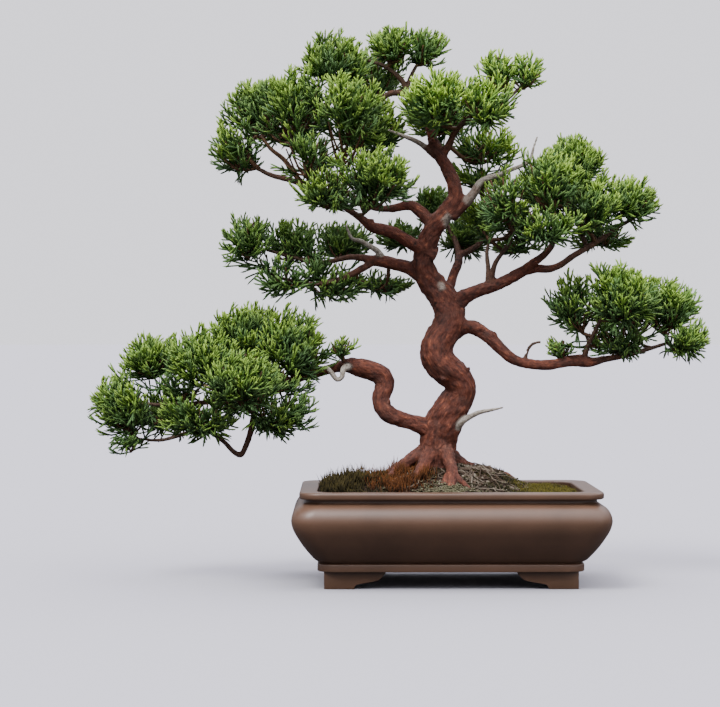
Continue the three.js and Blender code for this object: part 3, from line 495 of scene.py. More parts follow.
class Shader(Nodes):
    """A material's nodes. A colour is an sRGB one from 0 to 255, or a linear one of four values."""

    def __init__(self, name, roughness, specular):
        self.material = bpy.data.materials.new(name)
        self.material.use_nodes = True
        super().__init__(self.material.node_tree)
        self.surface = self.tree.nodes["Principled BSDF"]
        self.surface.inputs["Roughness"].default_value = roughness
        self.surface.inputs["Specular IOR Level"].default_value = specular
        self.object_coordinates = self.node("TexCoord").outputs["Object"]

    def attribute(self, name, output):
        return self.node("Attribute", attribute_name=name).outputs[output]

    def channels(self, name):
        return self.node("SeparateColor", {"Color": self.attribute(name, "Color")}).outputs[:3]

    def noise(self, scale, detail, vector=None, roughness=0.6):
        inputs = {"Vector": vector or self.object_coordinates, "Scale": scale, "Detail": detail,
                  "Roughness": roughness}
        return self.node("TexNoise", inputs).outputs["Fac"]

    def cells(self, scale, vector=None):
        inputs = {"Vector": vector or self.object_coordinates, "Scale": scale}
        return self.node("TexVoronoi", inputs).outputs["Distance"]

    def ramp(self, value, *stops):
        """Colours or greys by value. A stop is its place and a colour, or a grey from 0 to 1."""
        node = self.node("ValToRGB", {"Fac": value})
        points = node.color_ramp.elements
        while len(points) < len(stops):
            points.new(0.5)
        for point, (place, colour) in zip(points, stops):
            point.position = place
            point.color = linear(*colour) if isinstance(colour, tuple) else (colour, colour, colour, 1)
        return node.outputs["Color"]

    def mix(self, share, one, other, blend="MIX"):
        one, other = (linear(*colour) if isinstance(colour, tuple) and len(colour) == 3 else colour
                      for colour in (one, other))
        return self.node("Mix", {0: share, 6: one, 7: other}, data_type="RGBA", blend_type=blend).outputs[2]

    def colour(self, source):
        self.link(source, self.surface.inputs["Base Color"])

    def bump(self, height, distance, strength):
        node = self.node("Bump", {"Height": height, "Distance": distance, "Strength": strength})
        self.link(node.outputs["Normal"], self.surface.inputs["Normal"])

    def roughness(self, value, low, high):
        node = self.node("MapRange", {"Value": value, "To Min": low, "To Max": high})
        self.link(node.outputs["Result"], self.surface.inputs["Roughness"])


def clay_material(settings):
    shader = Shader("fired clay", roughness=0.4, specular=0.55)
    cloud, grain = shader.noise(18, 5), shader.noise(900, 3)
    base = tuple(round(255 * value ** (1 / 2.2)) for value in settings.clay_colour)
    darker, lighter = (tuple(min(255, int(share * value)) for value in base) for share in (0.86, 1.1))
    tone = shader.ramp(cloud, (0.3, darker), (0.55, base), (0.8, lighter))
    specks = shader.ramp(shader.cells(420), (0.0, 1.0), (0.05, 0.0))
    shader.colour(shader.mix(shader.times(specks, 0.35), tone, (52, 35, 27)))
    shader.roughness(grain, 0.34, 0.47)
    shader.bump(shader.plus(shader.times(grain, 0.35), cloud), 0.0003, 0.5)
    return shader.material


def plastic_mesh_material():
    shader = Shader("plastic mesh", roughness=0.55, specular=0.4)
    wear = shader.noise(260, 4)
    shader.colour(shader.ramp(wear, (0.3, (24, 24, 22)), (0.75, (52, 50, 45))))
    shader.roughness(wear, 0.45, 0.75)
    shader.bump(wear, 0.0002, 0.4)
    return shader.material


def soil_material():
    shader = Shader("dark soil", roughness=0.95, specular=0.2)
    crumb = shader.noise(420, 6)
    shader.colour(shader.ramp(crumb, (0.3, (28, 20, 14)), (0.55, (58, 42, 28)), (0.75, (96, 76, 54))))
    shader.bump(crumb, 0.0012, 0.9)
    return shader.material


def bark_material():
    """Reddish flaking bark, grey-brown on thin twigs and bleached where the wood is dead."""
    shader = Shader("juniper bark", roughness=0.72, specular=0.3)
    grain = shader.attribute("grain", "Vector")
    dead, young, dark = shader.channels("wood_kind")
    flakes = shader.noise(330, 6, grain, roughness=0.7)
    fine_grain = shader.noise(900, 5, grain, roughness=0.7)
    patches = shader.noise(75, 4, roughness=0.65)
    red = shader.ramp(
        flakes, (0.28, (44, 22, 16)), (0.43, (82, 43, 32)), (0.57, (108, 59, 43)), (0.69, (158, 92, 64)))
    brown = shader.ramp(flakes, (0.3, (38, 23, 18)), (0.5, (70, 43, 35)), (0.7, (98, 67, 56)))
    bark = shader.mix(shader.ramp(patches, (0.46, 0.0), (0.68, 0.8)), red, brown)
    twig = shader.ramp(fine_grain, (0.3, (46, 34, 27)), (0.55, (88, 67, 53)), (0.75, (126, 102, 84)))
    bark = shader.mix(young, bark, twig)
    flecks = shader.ramp(shader.cells(460, grain), (0.1, 1.0), (0.24, 0.0))
    bark = shader.mix(shader.times(flecks, 0.6), bark, (40, 21, 17))
    bark = shader.mix(dark, bark, (30, 20, 15))
    bleached = shader.ramp(
        fine_grain, (0.28, (84, 74, 64)), (0.45, (146, 136, 122)), (0.7, (196, 190, 178)))
    shader.colour(shader.mix(dead, bark, bleached))
    shader.roughness(fine_grain, 0.55, 0.85)
    shader.bump(shader.plus(shader.times(flakes, 1.3), shader.times(fine_grain, 0.6)), 0.0011, 0.9)
    return shader.material


def foliage_material(settings):
    """Cord-like shoots: dark and bluish at the root, yellow-green at the fresh tips, brown on the twigs, and
    made lighter by painted light towards each branchlet's top and on the pads that stand in shade.
    """
    shader = Shader("juniper foliage", roughness=0.55, specular=0.22)
    base, tip, cool, old = ((*colour, 1.0) for colour in (
        settings.shoot_colour, settings.tip_colour, settings.cool_colour, settings.old_colour))
    age, tint, fresh = shader.channels("growth")
    scales = shader.cells(900)
    patches = shader.ramp(shader.noise(62, 3), (0.4, 0.0), (0.58, 1.0))
    vivid = shader.times(patches, shader.ramp(fresh, (0.0, 0.25), (0.55, 0.85)))
    green = shader.mix(shader.ramp(age, (0.1, 0.0), (0.55, 1.0)), old, shader.mix(vivid, cool, base))
    green = shader.mix(shader.times(shader.ramp(age, (0.5, 0.0), (0.97, 1.0)), fresh), green, tip)
    # The second channel multiplies the green by 0.6 to 1.4: a random tone, with painted light that is lighter
    # towards each branchlet's top and on the pads that stand in shade
    green = shader.mix(1.0, green, shader.ramp(tint, (0.0, 0.6), (1.0, 1.4)), "MULTIPLY")
    green = shader.mix(shader.ramp(scales, (0.0, 0.35), (0.6, 0.0)), green, old)
    bark = shader.ramp(shader.noise(500, 4), (0.3, (62, 44, 32)), (0.7, (120, 88, 64)))
    shader.colour(shader.mix(shader.attribute("growth", "Alpha"), green, bark))
    shader.bump(scales, 0.0004, 0.6)
    return shader.material


def moss_material(name, dark, light, tips):
    """Moss: darker down each shoot to its foot, partly its own darker stems and partly painted shade between
    the tufts, lighter up them, with tips of their own colour.
    """
    shader = Shader(name, roughness=0.85, specular=0.2)
    rise, tint, _ = shader.channels("growth")
    # Painted shade: the colour darkens down each shoot to near black at its foot, partly the stems' own
    # colour
    tone = shader.ramp(rise, (0.0, dark), (0.6, light), (1.0, tips))
    tone = shader.mix(shader.ramp(tint, (0.0, 0.55), (1.0, 0.0)), tone, dark)
    fibre = shader.noise(1500, 3)
    shader.colour(shader.mix(shader.ramp(fibre, (0.35, 0.3), (0.65, 0.0)), tone, dark))
    shader.bump(fibre, 0.0003, 0.5)
    return shader.material


def ground_material():
    """The soil's surface under the moss: dark crumb with green-brown and grey litter."""
    shader = Shader("ground cover", roughness=0.95, specular=0.15)
    crumb, patches = shader.noise(520, 6), shader.noise(60, 4)
    earth = shader.ramp(crumb, (0.32, (12, 8, 6)), (0.5, (35, 26, 18)), (0.7, (80, 64, 49)))
    litter = shader.ramp(crumb, (0.32, (18, 16, 7)), (0.55, (54, 49, 21)), (0.75, (98, 86, 44)))
    shader.colour(shader.mix(shader.ramp(patches, (0.42, 0.0), (0.6, 1.0)), earth, litter))
    shader.bump(crumb, 0.0014, 1.0)
    return shader.material


def grit_material():
    shader = Shader("grit and bark crumbs", roughness=0.9, specular=0.25)
    _, tint, _ = shader.channels("growth")
    crumb = shader.noise(700, 4)
    tone = shader.ramp(tint, (0.0, (32, 22, 15)), (0.45, (58, 43, 31)), (0.8, (84, 70, 56)),
                       (1.0, (146, 136, 120)))
    shader.colour(shader.mix(shader.ramp(crumb, (0.35, 0.5), (0.65, 0.0)), tone, (46, 36, 28)))
    shader.bump(crumb, 0.0005, 0.7)
    return shader.material


# The pot

# How wide the edges of the pot and its feet are rounded, the step between its points and the drill's length
POT_ROUNDING, FOOT_ROUNDING, BELLY_STEP, DRILL_LENGTH = 0.7, 0.6, 2.6, 30


def pot_body():
    """The pot without holes and feet: a rounded plate that is extruded up its outside and down its inside."""
    belly = [tuple(point) for point in through(BELLY, BELLY_STEP)]
    profile = FOOT_BAND + belly + LIP + INSIDE
    half, height = profile[0]
    bpy.ops.mesh.primitive_plane_add(size=1, location=at(0, 0, height))
    body = bpy.context.object
    body.scale = (2 * half * MM, 2 * (half - LENGTH_OVER_WIDTH) * MM, 1)
    bpy.ops.object.transform_apply(location=False, rotation=False, scale=True)
    start_editing(body)
    bpy.ops.mesh.bevel(offset=CORNER * MM, segments=CORNER_SEGMENTS, affect="VERTICES")
    for (before, low), (after, high) in zip(profile, profile[1:]):
        extrude_up((high - low) * MM)
        across = (after - LENGTH_OVER_WIDTH) / (before - LENGTH_OVER_WIDTH)
        bpy.ops.transform.resize(value=(after / before, across, 1))
    finish_editing()
    bpy.ops.object.transform_apply()
    return body


def filled_outline(points, depth):
    """A closed solid: a flat outline of points with their two handles in metres, extruded along Z."""
    curve = bpy.data.curves.new("outline", "CURVE")
    curve.dimensions = "2D"
    curve.fill_mode = "BOTH"
    spline = curve.splines.new("BEZIER")
    spline.bezier_points.add(len(points) - 1)
    for point, handles in zip(spline.bezier_points, points):
        point.handle_left_type = point.handle_right_type = "FREE"
        for field, (x, y) in zip(("co", "handle_left", "handle_right"), handles):
            setattr(point, field, (x, y, 0))
    spline.use_cyclic_u = True
    spline.resolution_u = 10
    solid = curve_mesh(curve)
    start_editing(solid)
    bpy.ops.mesh.dissolve_limited(angle_limit=math.radians(1))
    bpy.ops.mesh.select_all(action="SELECT")
    extrude_up(depth)
    finish_editing()
    return solid


def corner_foot():
    """One foot with its outer corner at the origin: a corner block with a scroll cut from under each arm."""
    long, wide, thick, top = (value * MM for value in (FOOT_LENGTH, FOOT_WIDTH, FOOT_THICKNESS, FOOT_HEIGHT))
    plan = [(0, 0), (long, 0), (long, thick), (thick, thick), (thick, wide), (0, wide)]
    foot = filled_outline([(point, point, point) for point in plan], top + FOOT_SUNK * MM)
    upright = Matrix.Translation((0, 2 * thick, 0)) @ Matrix.Rotation(math.radians(90), 4, "X")
    swapped = Matrix(((0, 1, 0, 0), (1, 0, 0, 0), (0, 0, 1, 0), (0, 0, 0, 1)))
    for length, side in ((long, Matrix.Identity(4)), (wide, swapped)):
        scroll = [tuple((x * length, z * top) for x, z in handles) for handles in FOOT_SCROLL]
        cutter = filled_outline(scroll, 3 * thick)
        cutter.data.transform(side @ upright)
        make_outward(cutter)
        combine(foot, cutter, "DIFFERENCE")
    round_edges(foot, FOOT_ROUNDING, 2, 35)
    return foot


def make_pot(settings):
    body = pot_body()
    round_edges(body, POT_ROUNDING, 3, 32)
    for right in (1, -1):
        bpy.ops.mesh.primitive_cylinder_add(
            vertices=40, radius=DRAIN_RADIUS * MM, depth=DRILL_LENGTH * MM,
            location=at(right * DRAIN_OFFSET, 0, 17))
        combine(body, bpy.context.object, "DIFFERENCE")
    pattern = corner_foot()
    for right in (1, -1):
        for back in (1, -1):
            foot = add_object("foot", pattern.data.copy())
            foot.data.transform(Matrix.Diagonal((-right, -back, 1, 1)))
            corner = at(right * FOOT_OUTER, back * (FOOT_OUTER - LENGTH_OVER_WIDTH), 0)
            foot.data.transform(Matrix.Translation(corner))
            make_outward(foot)
            combine(body, foot, "UNION")
    bpy.data.objects.remove(pattern)
    only(body)
    bpy.ops.object.shade_smooth_by_angle(angle=math.radians(38))
    finish_piece(body, "clay_pot", clay_material(settings), "fired_clay", "pot")


# The ground: a bed over the soil, with moss, lichen, grit and dry rootlets on it

BED_DEPTH = 3
BED_CELLS = (116, 70)
# The bed's thinnest and usual cover, and its two sizes of lumps: their height, scale and seed
THIN_COVER, COVER, COVER_LUMPS = 0.25, 1.6, ((1.5, 0.07, 3.1), (0.9, 0.25, 8.2))
# How far into the bed moss shoots stand, and how wide they are drawn
MOSS_SUNK, MOSS_WIDTH = 0.6, 5
# The number of each, the share of lichen that lies apart and of pebbles that lie together, and where most of
# them lie: the middle and spread each way
LICHEN_SCALES, LICHEN_APART, LICHEN_SPOT = 520, 0.25, ((-2, 11), (-49, 6.5))
PEBBLES, PEBBLES_TOGETHER, PEBBLE_SPOT = 900, 0.55, ((24, 22), (-18, 26))
ROOTLETS, ROOTLET_STEPS = 70, 8
# How far from the trunk's middle dark moss, lichen and pebbles begin
DARK_START, LICHEN_START, PEBBLE_START = 19, 17, 16
# Each moss: its colours between the tufts, partly painted shade, up them and at their tips; its patches'
# weights, middles and reaches; the weight, scale and seed of a mound's lumps and the least share that grows;
# and its shoots' heights, spacing, lean and thickness
MOSSES = {
    "olive": (((14, 12, 4), (50, 43, 16), (92, 80, 34)),
              ((1.6, (-80, -22), (22, 34)), (1, (-76, 42), (26, 16))), (0.7, 0.06, 1.7, 0.12),
              ((3.5, 9.5), 1.15, 0.5, 0.42)),
    "rust": (((28, 15, 5), (86, 49, 19), (138, 80, 32)),
             ((1.5, (-40, -26), (20, 26)), (0.8, (-30, 38), (22, 16))), (0.7, 0.07, 5.3, 0.14),
             ((3.5, 9), 1.2, 0.45, 0.36)),
    "bright": (((30, 28, 6), (76, 70, 18), (116, 106, 34)),
               ((1.7, (78, -18), (26, 44)), (0.9, (70, 44), (34, 14))), (0.5, 0.05, 9.4, 0.3),
               ((1.6, 3.2), 1.15, 0.5, 0.5)),
    "dark": (((14, 15, 6), (42, 40, 18), (74, 70, 34)),
             ((0.9, (26, -16), (34, 44)), (0.8, (10, 44), (50, 16))), (),
             ((1.6, 4), 1.3, 0.6, 0.42)),
}


def ground_height(x, y):
    height = GROUND_EDGE
    for middle_x, middle_y, reach, rise in MOUNDS:
        height += rise * np.exp(-((x - middle_x) ** 2 + (y - middle_y) ** 2) / (2 * reach ** 2))
    return height


def lumps(x, y, scale, seed):
    return noise.noise(Vector((x * scale, y * scale, seed)))


def patch(x, y, middle, reach):
    return math.exp(-(((x - middle[0]) / reach[0]) ** 2 + ((y - middle[1]) / reach[1]) ** 2))


def patches_at(patches, x, y):
    return sum(weight * patch(x, y, middle, reach) for weight, middle, reach in patches)


def bed_height(x, y):
    edge = min(GROUND_HALF[0] - abs(x), GROUND_HALF[1] - abs(y))
    cover = sum((height * lumps(x, y, scale, seed) for height, scale, seed in COVER_LUMPS), COVER)
    middle, reach, rise = OLD_ROOT
    cover += rise * patch(x, y, middle, reach)
    return ground_height(x, y) + cover * min(1.0, max(THIN_COVER, edge / 5))


def past_corner(x, y):
    """How far a place is past the middle of the ground's nearest rounded corner, each way."""
    return [max(0, abs(value) - (half - GROUND_CORNER)) for value, half in zip((x, y), GROUND_HALF)]


def on_ground(x, y, margin, trunk=0):
    """Whether a place is a margin inside the ground's rounded outline and so far from the trunk's middle."""
    return (math.hypot(*past_corner(x, y)) < GROUND_CORNER - margin
            and math.hypot(x - TRUNK_FOOT[0], y - TRUNK_FOOT[1]) >= trunk)


def make_bed():
    bpy.ops.mesh.primitive_grid_add(
        x_subdivisions=BED_CELLS[0], y_subdivisions=BED_CELLS[1], size=2, location=(0, 0, 0))
    bed = bpy.context.object
    points = []
    for x, y, _ in coordinates(bed):
        x, y = x * GROUND_HALF[0], y * GROUND_HALF[1]
        past_x, past_y = past_corner(x, y)
        past = math.hypot(past_x, past_y)
        if past > GROUND_CORNER:
            x -= math.copysign(past_x * (1 - GROUND_CORNER / past), x)
            y -= math.copysign(past_y * (1 - GROUND_CORNER / past), y)
        points.append((x, y, bed_height(x, y)))
    set_coordinates(bed, places(points))
    start_editing(bed)
    extrude_up(BED_DEPTH * MM)
    finish_editing()
    bed.data.transform(Matrix.Translation((0, 0, -BED_DEPTH * MM)))
    bpy.ops.object.shade_smooth()
    finish_piece(bed, "ground_cover", ground_material(), "soil")


def moss_spike(thickness):
    """A moss shoot of unit height: a slim three-sided cone, thickest a little above its foot."""
    bpy.ops.mesh.primitive_cone_add(
        vertices=3, radius1=0.7 * thickness, radius2=thickness, depth=0.45, end_fill_type="NOTHING",
        location=(0, 0, 0.225))
    spike = bpy.context.object
    bpy.ops.object.transform_apply()
    points = coordinates(spike)
    bpy.data.objects.remove(spike)
    by_ring = np.lexsort((np.arctan2(points[:, 1], points[:, 0]), points[:, 2] > 0.2))
    faces = [(k, (k + 1) % 3, 3 + (k + 1) % 3, 3 + k) for k in range(3)]
    faces += [(3 + k, 3 + (k + 1) % 3, 6) for k in range(3)]
    return np.vstack([points[by_ring], (0, 0, 1)]), faces + [(2, 1, 0)]


def scatter_moss(name, colours, chance, share, heights, spacing, lean, thickness):
    """Moss shoots on the ground wherever share(x, y) is high, on a jittered grid."""
    shoot, faces = moss_spike(thickness / MOSS_WIDTH)
    rise = np.clip(shoot[:, 2], 0, 1)
    gathered = Gathered()
    columns, rows = (int(2 * half / spacing) for half in GROUND_HALF)
    for column in range(columns):
        for row in range(rows):
            x = -GROUND_HALF[0] + (column + chance.uniform(0, 1)) * spacing
            y = -GROUND_HALF[1] + (row + chance.uniform(0, 1)) * spacing
            pick, size, turn = chance.uniform(0, 1), chance.uniform(0, 1), chance.uniform(0, 2 * math.pi)
            tilt, tone = chance.uniform(0, lean), chance.uniform(0, 1)
            here = share(x, y)
            if pick > here or not on_ground(x, y, 1):
                continue
            height = heights[0] + (heights[1] - heights[0]) * size * min(1, 0.4 + here)
            height *= 0.55 + 1.3 * max(0, lumps(x, y, 0.14, 6.6) + 0.3)
            spread = turned(shoot * (MOSS_WIDTH, MOSS_WIDTH, height), turn)
            bend = tilt * (spread[:, 2] / height) ** 2 * height
            spread[:, 0] += bend * math.cos(3 * turn)
            spread[:, 1] += bend * math.sin(3 * turn)
            gathered.add(spread + (x, y, bed_height(x, y) - MOSS_SUNK), faces, (rise, tone, here, 1))
    gathered.finish(f"moss_{name}", moss_material(f"{name} moss", *colours), "moss")


def mound_share(patches, weight, scale, seed, least, x, y):
    mound = patches_at(patches, x, y)
    return min(1, mound + weight * lumps(x, y, scale, seed)) if mound > least else 0.0


def dark_share(patches, x, y):
    """The dark moss is a thin mat, broken up by its lumps, that keeps off the trunk."""
    mat = patches_at(patches, x, y) * (0.45 + 0.9 * lumps(x, y, 0.11, 4.4))
    return max(0.0, mat) if on_ground(x, y, 1, DARK_START) else 0.0


def make_moss():
    chance = np.random.default_rng(SEEDS["moss"])
    for name, (colours, patches, mound, growth) in MOSSES.items():
        share = partial(mound_share, patches, *mound) if mound else partial(dark_share, patches)
        scatter_moss(name, colours, chance, share, *growth)


def make_lichen():
    """Pale mint lichen at the pot's front edge: small curled scales."""
    chance = np.random.default_rng(SEEDS["lichen"])
    gathered = Gathered()
    spokes, curl = np.arange(6) * math.pi / 3, np.array([0.7, 1.3] * 3)
    faces = [(0, 1 + k, 1 + (k + 1) % 6) for k in range(6)]
    faces += [(7, 8 + (k + 1) % 6, 8 + k) for k in range(6)]
    faces += [(1 + k, 8 + k, 8 + (k + 1) % 6, 1 + (k + 1) % 6) for k in range(6)]
    # Painted shade: each scale's middle and underside take the material's darker colours, its curled rim the
    # palest
    rise = [0.2] + [1] * 6 + [0] * 7
    for _ in range(LICHEN_SCALES):
        x, y = (chance.normal(*spot) for spot in LICHEN_SPOT)
        if chance.uniform(0, 1) < LICHEN_APART:
            x, y = chance.uniform(-60, 60), chance.uniform(-55, 55)
        size, turn, lift = chance.uniform(0.8, 1.9), chance.uniform(0, 2 * math.pi), chance.uniform(0.3, 1.6)
        tone = chance.uniform(0, 1)
        if on_ground(x, y, 2, LICHEN_START):
            rim = np.column_stack([np.cos(turn + spokes) * size, np.sin(turn + spokes) * size, lift * curl])
            points = np.vstack([(0, 0, 0.25), rim, (0, 0, -0.5), rim * (0.9, 0.9, 1) - (0, 0, 0.35)])
            gathered.add(points + (x, y, bed_height(x, y) + 0.4), faces, (rise, tone, 1, 1))
    material = moss_material("pale lichen", (66, 66, 46), (116, 112, 84), (164, 158, 128))
    gathered.finish("lichen", material, "moss")


def make_grit():
    """Small stones and crumbs of bark, modelled once as a rough pebble and copied."""
    chance = np.random.default_rng(SEEDS["grit"])
    bpy.ops.mesh.primitive_ico_sphere_add(subdivisions=1, radius=1, location=(0, 0, 0))
    pebble = bpy.context.object
    shape = coordinates(pebble)
    faces = [tuple(polygon.vertices) for polygon in pebble.data.polygons]
    bpy.data.objects.remove(pebble)
    gathered = Gathered()
    for _ in range(PEBBLES):
        x, y = chance.uniform(-98, 98), chance.uniform(-60, 60)
        if chance.uniform(0, 1) < PEBBLES_TOGETHER:
            x, y = (chance.normal(*spot) for spot in PEBBLE_SPOT)
        size = 0.5 + 1.7 * chance.uniform(0, 1) ** 2.5
        jitter = chance.uniform(0.7, 1.3, shape.shape)
        stretch = (chance.uniform(0.8, 1.7), chance.uniform(0.7, 1.1), chance.uniform(0.4, 0.8))
        turn, tone = chance.uniform(0, 2 * math.pi), chance.uniform(0, 1)
        if on_ground(x, y, 1.5, PEBBLE_START):
            stone = turned(shape * jitter * stretch * size, turn)
            gathered.add(stone + (x, y, bed_height(x, y) + 0.25 * size), faces, (1, tone, 1, 1))
    gathered.finish("grit", grit_material(), "soil", smooth=False)


def make_rootlets():
    """Dry root strands that run from the trunk's foot over the ground, mostly to the right."""
    chance = np.random.default_rng(SEEDS["rootlets"])
    gathered = Gathered()
    for _ in range(ROOTLETS):
        angle = chance.normal(-0.55, 0.75) if chance.uniform(0, 1) < 0.7 else chance.uniform(0, 2 * math.pi)
        start, length = chance.uniform(14, 40), chance.uniform(14, 46)
        wander, radius, tone = chance.normal(0, 0.5), chance.uniform(0.35, 0.95), chance.uniform(0.3, 1)
        line = []
        for step in range(ROOTLET_STEPS + 1):
            distance = start + length * step / ROOTLET_STEPS
            turn = angle + wander * math.sin(step * 0.8 + tone * 9) * 0.4
            x, y = TRUNK_FOOT[0] + distance * math.cos(turn), TRUNK_FOOT[1] + distance * math.sin(turn)
            arch = 1.6 * math.sin(math.pi * step / ROOTLET_STEPS) * abs(wander)
            line.append((x, y, bed_height(x, y) + 0.5 + arch))
        if all(on_ground(x, y, 2) for x, y, _ in line):
            tube = sweep(np.array(line), radius * np.linspace(1, 0.45, len(line)), 5)
            gathered.add(*tube, (1, tone ** 0.55, 1, 1))
    gathered.finish("dry_rootlets", grit_material(), "bark")


# The wood

# How the bark lies: how far its ridges turn about a limb and run along it
FLUTE_TWIST = 0.035
GRAIN_STRETCH = 0.42
# Pale scars on the bark: the middle and reach in millimetres
SCARS = [((-1, -6.5, 278.5), 5), ((-5, -1.5, 229), 3.8), ((-80, -12, 165), 6), ((-90, -12, 164), 5)]
STUBS = 26
KNOTS = 70
# How far up these dead ends some bark is left, in millimetres
BARK_LEFT = {"dead_top": 12, "dead_right": 15}
# The front roots' toes, written like the limbs
ROOT_TOES = [
    [(1, -24, 88, 3.2), (5, -31, 83, 2.7), (10, -37, 78, 2.1), (16, -43, 72, 1.5)],
    [(1, -26, 87, 3), (-4, -35, 80, 2.4), (-8, -42, 73, 1.7)],
    [(-38, -8, 88, 3), (-45, -18, 83, 2.3), (-52, -28, 76, 1.6)],
]
# How far apart, in millimetres, two limbs' skins still blend into each other
BLEND_REACH = 7
BLEND_ROUNDS = 45
# The least radius of a limb before the skin is joined
LEAST_RADIUS = 0.9
# The columns of a limb's samples: its line, radius, directions, run from the limb's start and number
LINE, RADIUS, TANGENT, ACROSS, UPWARD, RUN, LIMB = (
    slice(0, 3), 3, slice(4, 7), slice(7, 10), slice(10, 13), 13, 14)
# How many places are compared with all samples at once
BATCH = 3000
# The least radius of wood that bears a stub or a knot, and a stub's least height on the tree
STUB_RADIUS, KNOT_RADIUS, STUB_HEIGHT = 2.4, 2.6, 110
# How far apart the bark's grain is from one limb to the next
GRAIN_SHIFT = 40
# The bark's relief: lumps, more of them on roots, as shares of the radius, and ridges and flakes as a share
# and as the most in millimetres; the largest radius that counts, and the ridges' middle level
LUMPS, ROOT_LUMPS, RIDGES, FLAKES = 0.085, 0.14, (0.1, 0.8), (0.07, 0.42)
RELIEF_RADIUS, RIDGE_LEVEL = 13, 0.78
# How pale the dead wood's scars are, and how far they are stretched each way
SCAR_PALENESS, SCAR_STRETCH = 0.85, (1.25, 1, 0.8)


class LimbTable:
    """All the limbs as closely spaced samples, to find the one whose skin is nearest to a place."""

    def __init__(self):
        rows = []
        for number, points in enumerate(LIMBS.values()):
            samples = through(points, 1.5)
            line = samples[:, :3]
            run = np.concatenate([[0], np.cumsum(np.linalg.norm(np.diff(line, axis=0), axis=1))])
            rows.append(np.column_stack([samples, *frames_along(line), run, np.full(len(line), number)]))
        self.rows = np.vstack(rows)

    def nearest(self, points):
        """For each place the limb's values there, slid between two samples, and how near the next limb is."""
        limb = self.rows[:, LIMB]
        starts = np.searchsorted(limb, np.unique(limb))
        pick, apart = [], []
        for start in range(0, len(points), BATCH):
            part = points[start:start + BATCH, None]
            distance = np.sqrt(((part - self.rows[:, LINE]) ** 2).sum(2)) - self.rows[:, RADIUS]
            pick.append(distance.argmin(1))
            by_limb = np.sort(np.minimum.reduceat(distance, starts, axis=1), axis=1)
            apart.append(by_limb[:, 1] - by_limb[:, 0])
        pick = np.concatenate(pick)
        here = self.rows[pick]
        along = ((points - here[:, LINE]) * here[:, TANGENT]).sum(1)
        there = self.rows[np.clip(pick + np.where(along >= 0, 1, -1), 0, len(self.rows) - 1)]
        gap = np.maximum(np.linalg.norm(there[:, LINE] - here[:, LINE], axis=1), TINY)
        share = np.where(here[:, LIMB] == there[:, LIMB], np.clip(np.abs(along) / gap, 0, 1), 0)[:, None]
        return here * (1 - share) + there * share, np.concatenate(apart)


def limb_solid(points):
    """A limb's tube, a curve through its points with their radii, made a mesh."""
    curve = bpy.data.curves.new("limb", "CURVE")
    curve.dimensions = "3D"
    curve.bevel_depth = MM
    curve.bevel_resolution = 4
    curve.use_fill_caps = True
    samples = through(points, 2.0)
    spline = curve.splines.new("POLY")
    spline.points.add(len(samples) - 1)
    for point, (x, y, z, radius) in zip(spline.points, samples):
        point.co = (*at(x, y, z), 1)
        point.radius = max(radius, LEAST_RADIUS)
    return curve_mesh(curve)


def cut_stubs(table, chance):
    """Short stubs where small branches were once cut off: each a few points along its own axis."""
    rows = table.rows[(table.rows[:, RADIUS] > STUB_RADIUS) & (table.rows[:, 2] > STUB_HEIGHT)]
    stubs = []
    for row in rows[chance.choice(len(rows), STUBS, replace=False)]:
        angle = chance.uniform(0, 2 * math.pi)
        out = row[ACROSS] * math.cos(angle) + row[UPWARD] * math.sin(angle)
        out += row[TANGENT] * chance.uniform(-0.2, 0.6)
        radius = min(0.5 * row[RADIUS], chance.uniform(1.2, 2.4))
        start = row[LINE]
        end = start + unit(out) * (row[RADIUS] + chance.uniform(0.8, 2.4))
        stubs.append([(*start, 1.3 * radius), (*((start + end) / 2), 1.1 * radius), (*end, 0.95 * radius)])
    return stubs


def edges_of(obj):
    edges = np.zeros(len(obj.data.edges) * 2, np.int32)
    obj.data.edges.foreach_get("vertices", edges)
    return edges.reshape(-1, 2).T


def soften(edges, values, rounds, weight=1.0):
    """Averages values along a mesh's edges, wholly where the weight is 1 and not at all where it is 0."""
    one, other = edges
    values = values.reshape(len(values), -1).copy()
    size = len(values)
    count = (np.bincount(one, minlength=size) + np.bincount(other, minlength=size))[:, None]
    weight = np.broadcast_to(weight, size)[:, None]
    for _ in range(rounds):
        total = np.column_stack([
            np.bincount(one, column[other], size) + np.bincount(other, column[one], size)
            for column in values.T])
        values += weight * (total / np.maximum(count, 1) - values)
    return values if values.shape[1] > 1 else values[:, 0]


def blended_wood(settings, table, chance):
    """The limbs, stubs and root toes as one object, with its edges and places, softened where limbs meet."""
    solids = [limb_solid(points) for points in (*LIMBS.values(), *cut_stubs(table, chance), *ROOT_TOES)]
    wood = solids[0]
    only(wood)
    for solid in solids:
        solid.select_set(True)
    bpy.ops.object.join()
    apply_modifier(wood, "REMESH", mode="VOXEL", voxel_size=settings.bark_voxel, adaptivity=0)
    apply_modifier(wood, "SMOOTH", factor=0.5, iterations=3)
    edges = edges_of(wood)
    points = (coordinates(wood) - np.array(POT_MIDDLE)) / MM
    apart = table.nearest(points)[1]
    return wood, edges, soften(edges, points, BLEND_ROUNDS, 0.8 * np.clip(1.2 - apart / BLEND_REACH, 0, 1))


def bark_relief(points, grain, radius, root):
    """How far the bark stands out or in at each place: lumps, lengthwise ridges and fine flakes."""
    rise = np.zeros(len(points))
    for k, (place, vector) in enumerate(zip(points, grain)):
        place, vector, size = Vector(place), Vector(vector), min(radius[k], RELIEF_RADIUS)
        ridge = 1 - abs(noise.noise(vector * 0.3))
        plate = noise.noise(vector * 0.75)
        lump = noise.noise(place * 0.1) + 0.5 * noise.noise(place * 0.27)
        rise[k] = LUMPS * size * lump + min(RIDGES[0] * size, RIDGES[1]) * (ridge - RIDGE_LEVEL)
        rise[k] += min(FLAKES[0] * size, FLAKES[1]) * plate
        if root[k]:
            rise[k] += ROOT_LUMPS * size * noise.noise(place * 0.4)
    return rise


